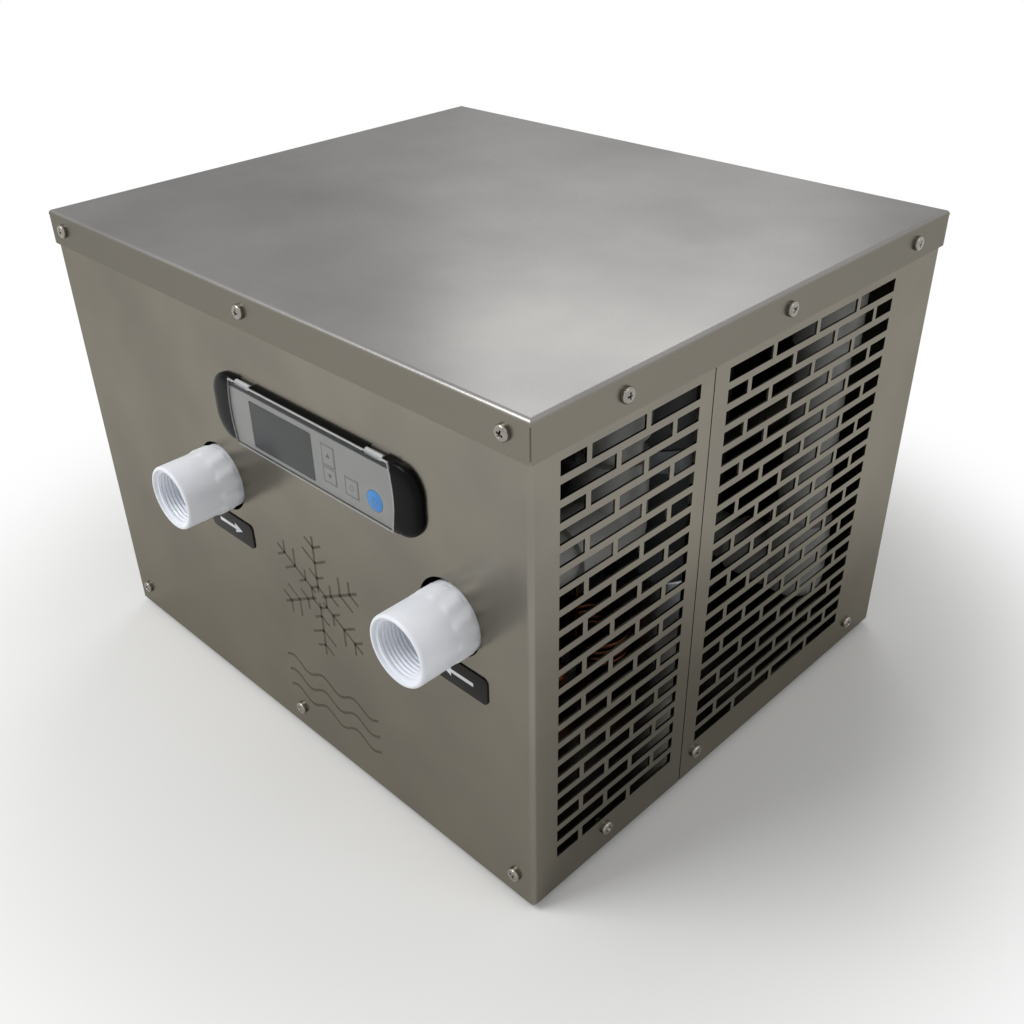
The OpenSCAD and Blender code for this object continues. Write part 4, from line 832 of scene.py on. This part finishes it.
def fan():
    """Moulded rotor: open hub with a boss and curved, twisted blades set round it."""
    blades, root, tip = 5, 27.5, 103.6
    hub = bmesh.new()
    turned(hub, [(4, 0), (28, 0), (29, 1), (29, 24), (26.6, 24), (26.6, 2.4), (9, 2.4), (9, 24),
                 (4, 24)], FAN, (1, 0, 0), 72, closed=True)
    keep_piece(hub, "fan_rotor_hub", NYLON, ["fan_rotor"], "fan")
    blade = bmesh.new()
    sections = []
    for k in range(11):
        r = root + (tip - root) * k / 10
        chord = 30 + 26 * math.sin(math.pi * min(1, k / 10 * 0.75 + 0.05))
        pitch = math.radians(33 - 15 * k / 10)
        ring = []
        for side in (1, -1):
            for i in range(9):
                t = (i / 8 if side > 0 else 1 - i / 8) - 0.5
                camber = 2.6 * (1 - 4 * t * t)
                thick = 0.8 * math.sqrt(max(0.02, 1 - 4 * t * t))
                u, w = t * chord, camber + side * thick
                angle = (u * math.cos(pitch) - w * math.sin(pitch)) / r + 0.22 * (k / 10) ** 2
                axial = 12 + u * math.sin(pitch) + w * math.cos(pitch) - camber
                ring.append((r * math.cos(angle), r * math.sin(angle), min(23.6, max(0.4, axial))))
        sections.append(ring)
    skin(blade, sections)
    places = [(FAN, (1, 0, 0), math.tau * i / blades) for i in range(blades)]
    copied(places, blade, 1.0, NYLON, "fan_rotor_blades", ["fan_rotor"], "fan",
           crease=50)


fan()


def fins():
    """Rippled fin plates in a close row between the end plates."""
    count, first, last = 120, COND_FRONT + 3, COND_BACK - 3
    low, high = 10.2, 293.8
    half_x, half_z, wave, half_thick = 19.0, 141.6, 0.35, 0.06
    ripple = [(-half_x + 2 * half_x * k / 8, wave if k % 2 else -wave) for k in range(9)]
    loop = [(x, y + half_thick) for x, y in ripple]
    loop += [(x, y - half_thick) for x, y in reversed(ripple)]
    fin = bmesh.new()
    skin(fin, [[(x, y, z) for x, y in loop] for z in (-half_z, half_z)])
    places = [((PASS_X, first + (last - first) * i / (count - 1), (low + high) / 2), (0, 0, 1),
               0.0) for i in range(count)]
    copied(places, fin, 1.0, ALUMINIUM, "condenser_fins_rippled",
           ["condenser_fins"], crease=20)


fins()

# Wires


def wires():
    """The fixed harness: terminal block to compressor and fan motor, and barrel to controller."""
    wire_z, block_y, block_top = ROOF_Z - 12, 307.4, 28.2
    compressor_run = bent_path(
        [(-80.5, block_y, block_top), (-80.5, block_y, wire_z), (0.5, 146, wire_z),
         (28, 137.5, wire_z), (28, 137.5, 229.2)], 12)
    motor_run = smooth_route(
        [(-111.5, block_y, block_top), (-111.5, block_y, 60), (-111.5, 304, 130),
         (-109.7, 262, 151), (-109.7, 223.7, 152)])
    routed("mains_cables_soft", "mains_cables", [compressor_run, motor_run], 2.6, CABLE,
           12)
    x, y = BARREL[0] - 30, BARREL[1] - 20
    sensor_run = bent_path([(x, y, 280.2), (x, y, 286.2), (x, y - 47.5, 289.2),
                            (CTRL_X, 175, CTRL_Z), (CTRL_X, 52.3, CTRL_Z)], 10)
    routed("sensor_cable_soft", "sensor_cable", [sensor_run], 1.6, CABLE, 10)


wires()

# Cable gland


def gland():
    """The gland's domed clamping nut with its ring of grip ribs."""
    place, out = (-96, BACK_Y, 67), (0, 1, 0)
    rib_count, rib_r = 18, 12.05
    nut = bmesh.new()
    turned(nut, [(5.2, 5), (12.0, 5), (12.2, 5.4), (12.2, 16), (11.4, 18.6), (9.8, 21.5),
                 (7.6, 23.4), (6.2, 24), (5.2, 23.4)], place, out, 60, closed=True)
    keep_piece(nut, "gland_nut_domed", NYLON, ["gland_nut"])
    rib = block((-0.28, -0.45, -5.2), (0.28, 0.2, 5.2), 0.15, 2)
    angles = [math.tau * k / rib_count for k in range(rib_count)]
    ribs = [((place[0] + rib_r * math.sin(a), BACK_Y + 10.7, place[2] + rib_r * math.cos(a)),
             out, -a) for a in angles]
    copied(ribs, rib, 1.0, NYLON, "gland_nut_ribs", ["gland_nut"], crease=40)


gland()

# Studio, lamps and camera


def pale_rays(tree):
    """1 for rays that see the surroundings, by eye or in metal and glass, and 0 for the others."""
    rays = add(tree, "ShaderNodeLightPath").outputs
    seen = add(tree, "ShaderNodeMath", {0: rays["Is Camera Ray"], 1: rays["Is Glossy Ray"]},
               operation="MAXIMUM")
    return add(tree, "ShaderNodeMath", {0: seen.outputs[0], 1: rays["Is Transmission Ray"]},
               operation="MAXIMUM").outputs[0]


def floor():
    """Plain pale studio floor that keeps the object's shadow and runs out into white."""
    mesh = bpy.data.meshes.new("studio_floor")
    bm = bmesh.new()
    bmesh.ops.create_circle(bm, cap_ends=True, radius=3.0, segments=96)
    bm.to_mesh(mesh)
    bm.free()
    # Matt white paper: nearly white, with no sheen
    mat = surface("matt_studio_floor", "#F0F0EF", "#EDEDEC", 0.85, 0.05, 900, 40, 0.001)
    tree = mat.node_tree
    where = add(tree, "ShaderNodeTexCoord").outputs["Object"]
    away = add(tree, "ShaderNodeVectorMath", {0: where}, operation="LENGTH")
    fade = add(tree, "ShaderNodeMapRange", {"Value": away.outputs["Value"],
                                            "From Min": 0.27, "From Max": 0.55},
               interpolation_type="SMOOTHERSTEP")
    share = add(tree, "ShaderNodeMath", {0: fade.outputs[0], 1: pale_rays(tree)},
                operation="MULTIPLY")
    white = add(tree, "ShaderNodeEmission", {"Color": (1, 1, 1, 1), "Strength": 1.0})
    lit = tree.nodes["Principled BSDF"]
    both = add(tree, "ShaderNodeMixShader", {0: share.outputs[0], 1: lit.outputs[0],
                                             2: white.outputs[0]})
    tree.links.new(both.outputs[0], tree.nodes["Material Output"].inputs["Surface"])
    mesh.materials.append(mat)
    obj = bpy.data.objects.new("studio_floor", mesh)
    bpy.context.scene.collection.objects.link(obj)


def lamp(name, place, aim, size, power):
    """Soft square lamp at a place, turned to what it lights, in metres."""
    data = bpy.data.lights.new(name, "AREA")
    data.shape = "SQUARE"
    data.size = size
    data.energy = power
    obj = bpy.data.objects.new(name, data)
    obj.location = place
    obj.rotation_euler = (Vector(aim) - Vector(place)).to_track_quat("-Z", "Y").to_euler()
    bpy.context.scene.collection.objects.link(obj)


def sky():
    """White surroundings for the camera, metal and glass, and a softer even light on the object."""
    world = bpy.data.worlds.new("studio_surroundings")
    bpy.context.scene.world = world
    world.use_nodes = True
    tree = world.node_tree
    tree.nodes.clear()
    level = add(tree, "ShaderNodeMapRange", {"Value": pale_rays(tree), "To Min": 0.42,
                                             "To Max": 1.0})
    back = add(tree, "ShaderNodeBackground", {"Color": (1, 1, 1, 1),
                                              "Strength": level.outputs[0]})
    add(tree, "ShaderNodeOutputWorld", {"Surface": back.outputs[0]})


def camera():
    """The photograph's view."""
    data = bpy.data.cameras.new("photo_view")
    data.sensor_width = 36
    data.lens = 39.3457
    data.shift_x = 0.019583
    data.shift_y = 0.005012
    data.clip_start, data.clip_end = 0.01, 50
    obj = bpy.data.objects.new("photo_view", data)
    obj.location = (0.49872, -0.472761, 0.53274)
    obj.rotation_euler = [math.radians(a) for a in (57.1469, 1.4588, 45.2624)]
    bpy.context.scene.collection.objects.link(obj)
    bpy.context.scene.camera = obj


floor()
sky()
lamp("key_softbox", (-0.7, -1.3, 1.8), (0, 0, 0.15), 1.1, 27)
lamp("back_softbox", (-1.05, 1.5, 1.55), (0, 0, 0.3), 1.0, 6)
lamp("side_softbox", (1.5, 0.2, 1.7), (0, 0, 0.15), 1.0, 5)
camera()
bpy.context.scene.view_settings.view_transform = "Standard"
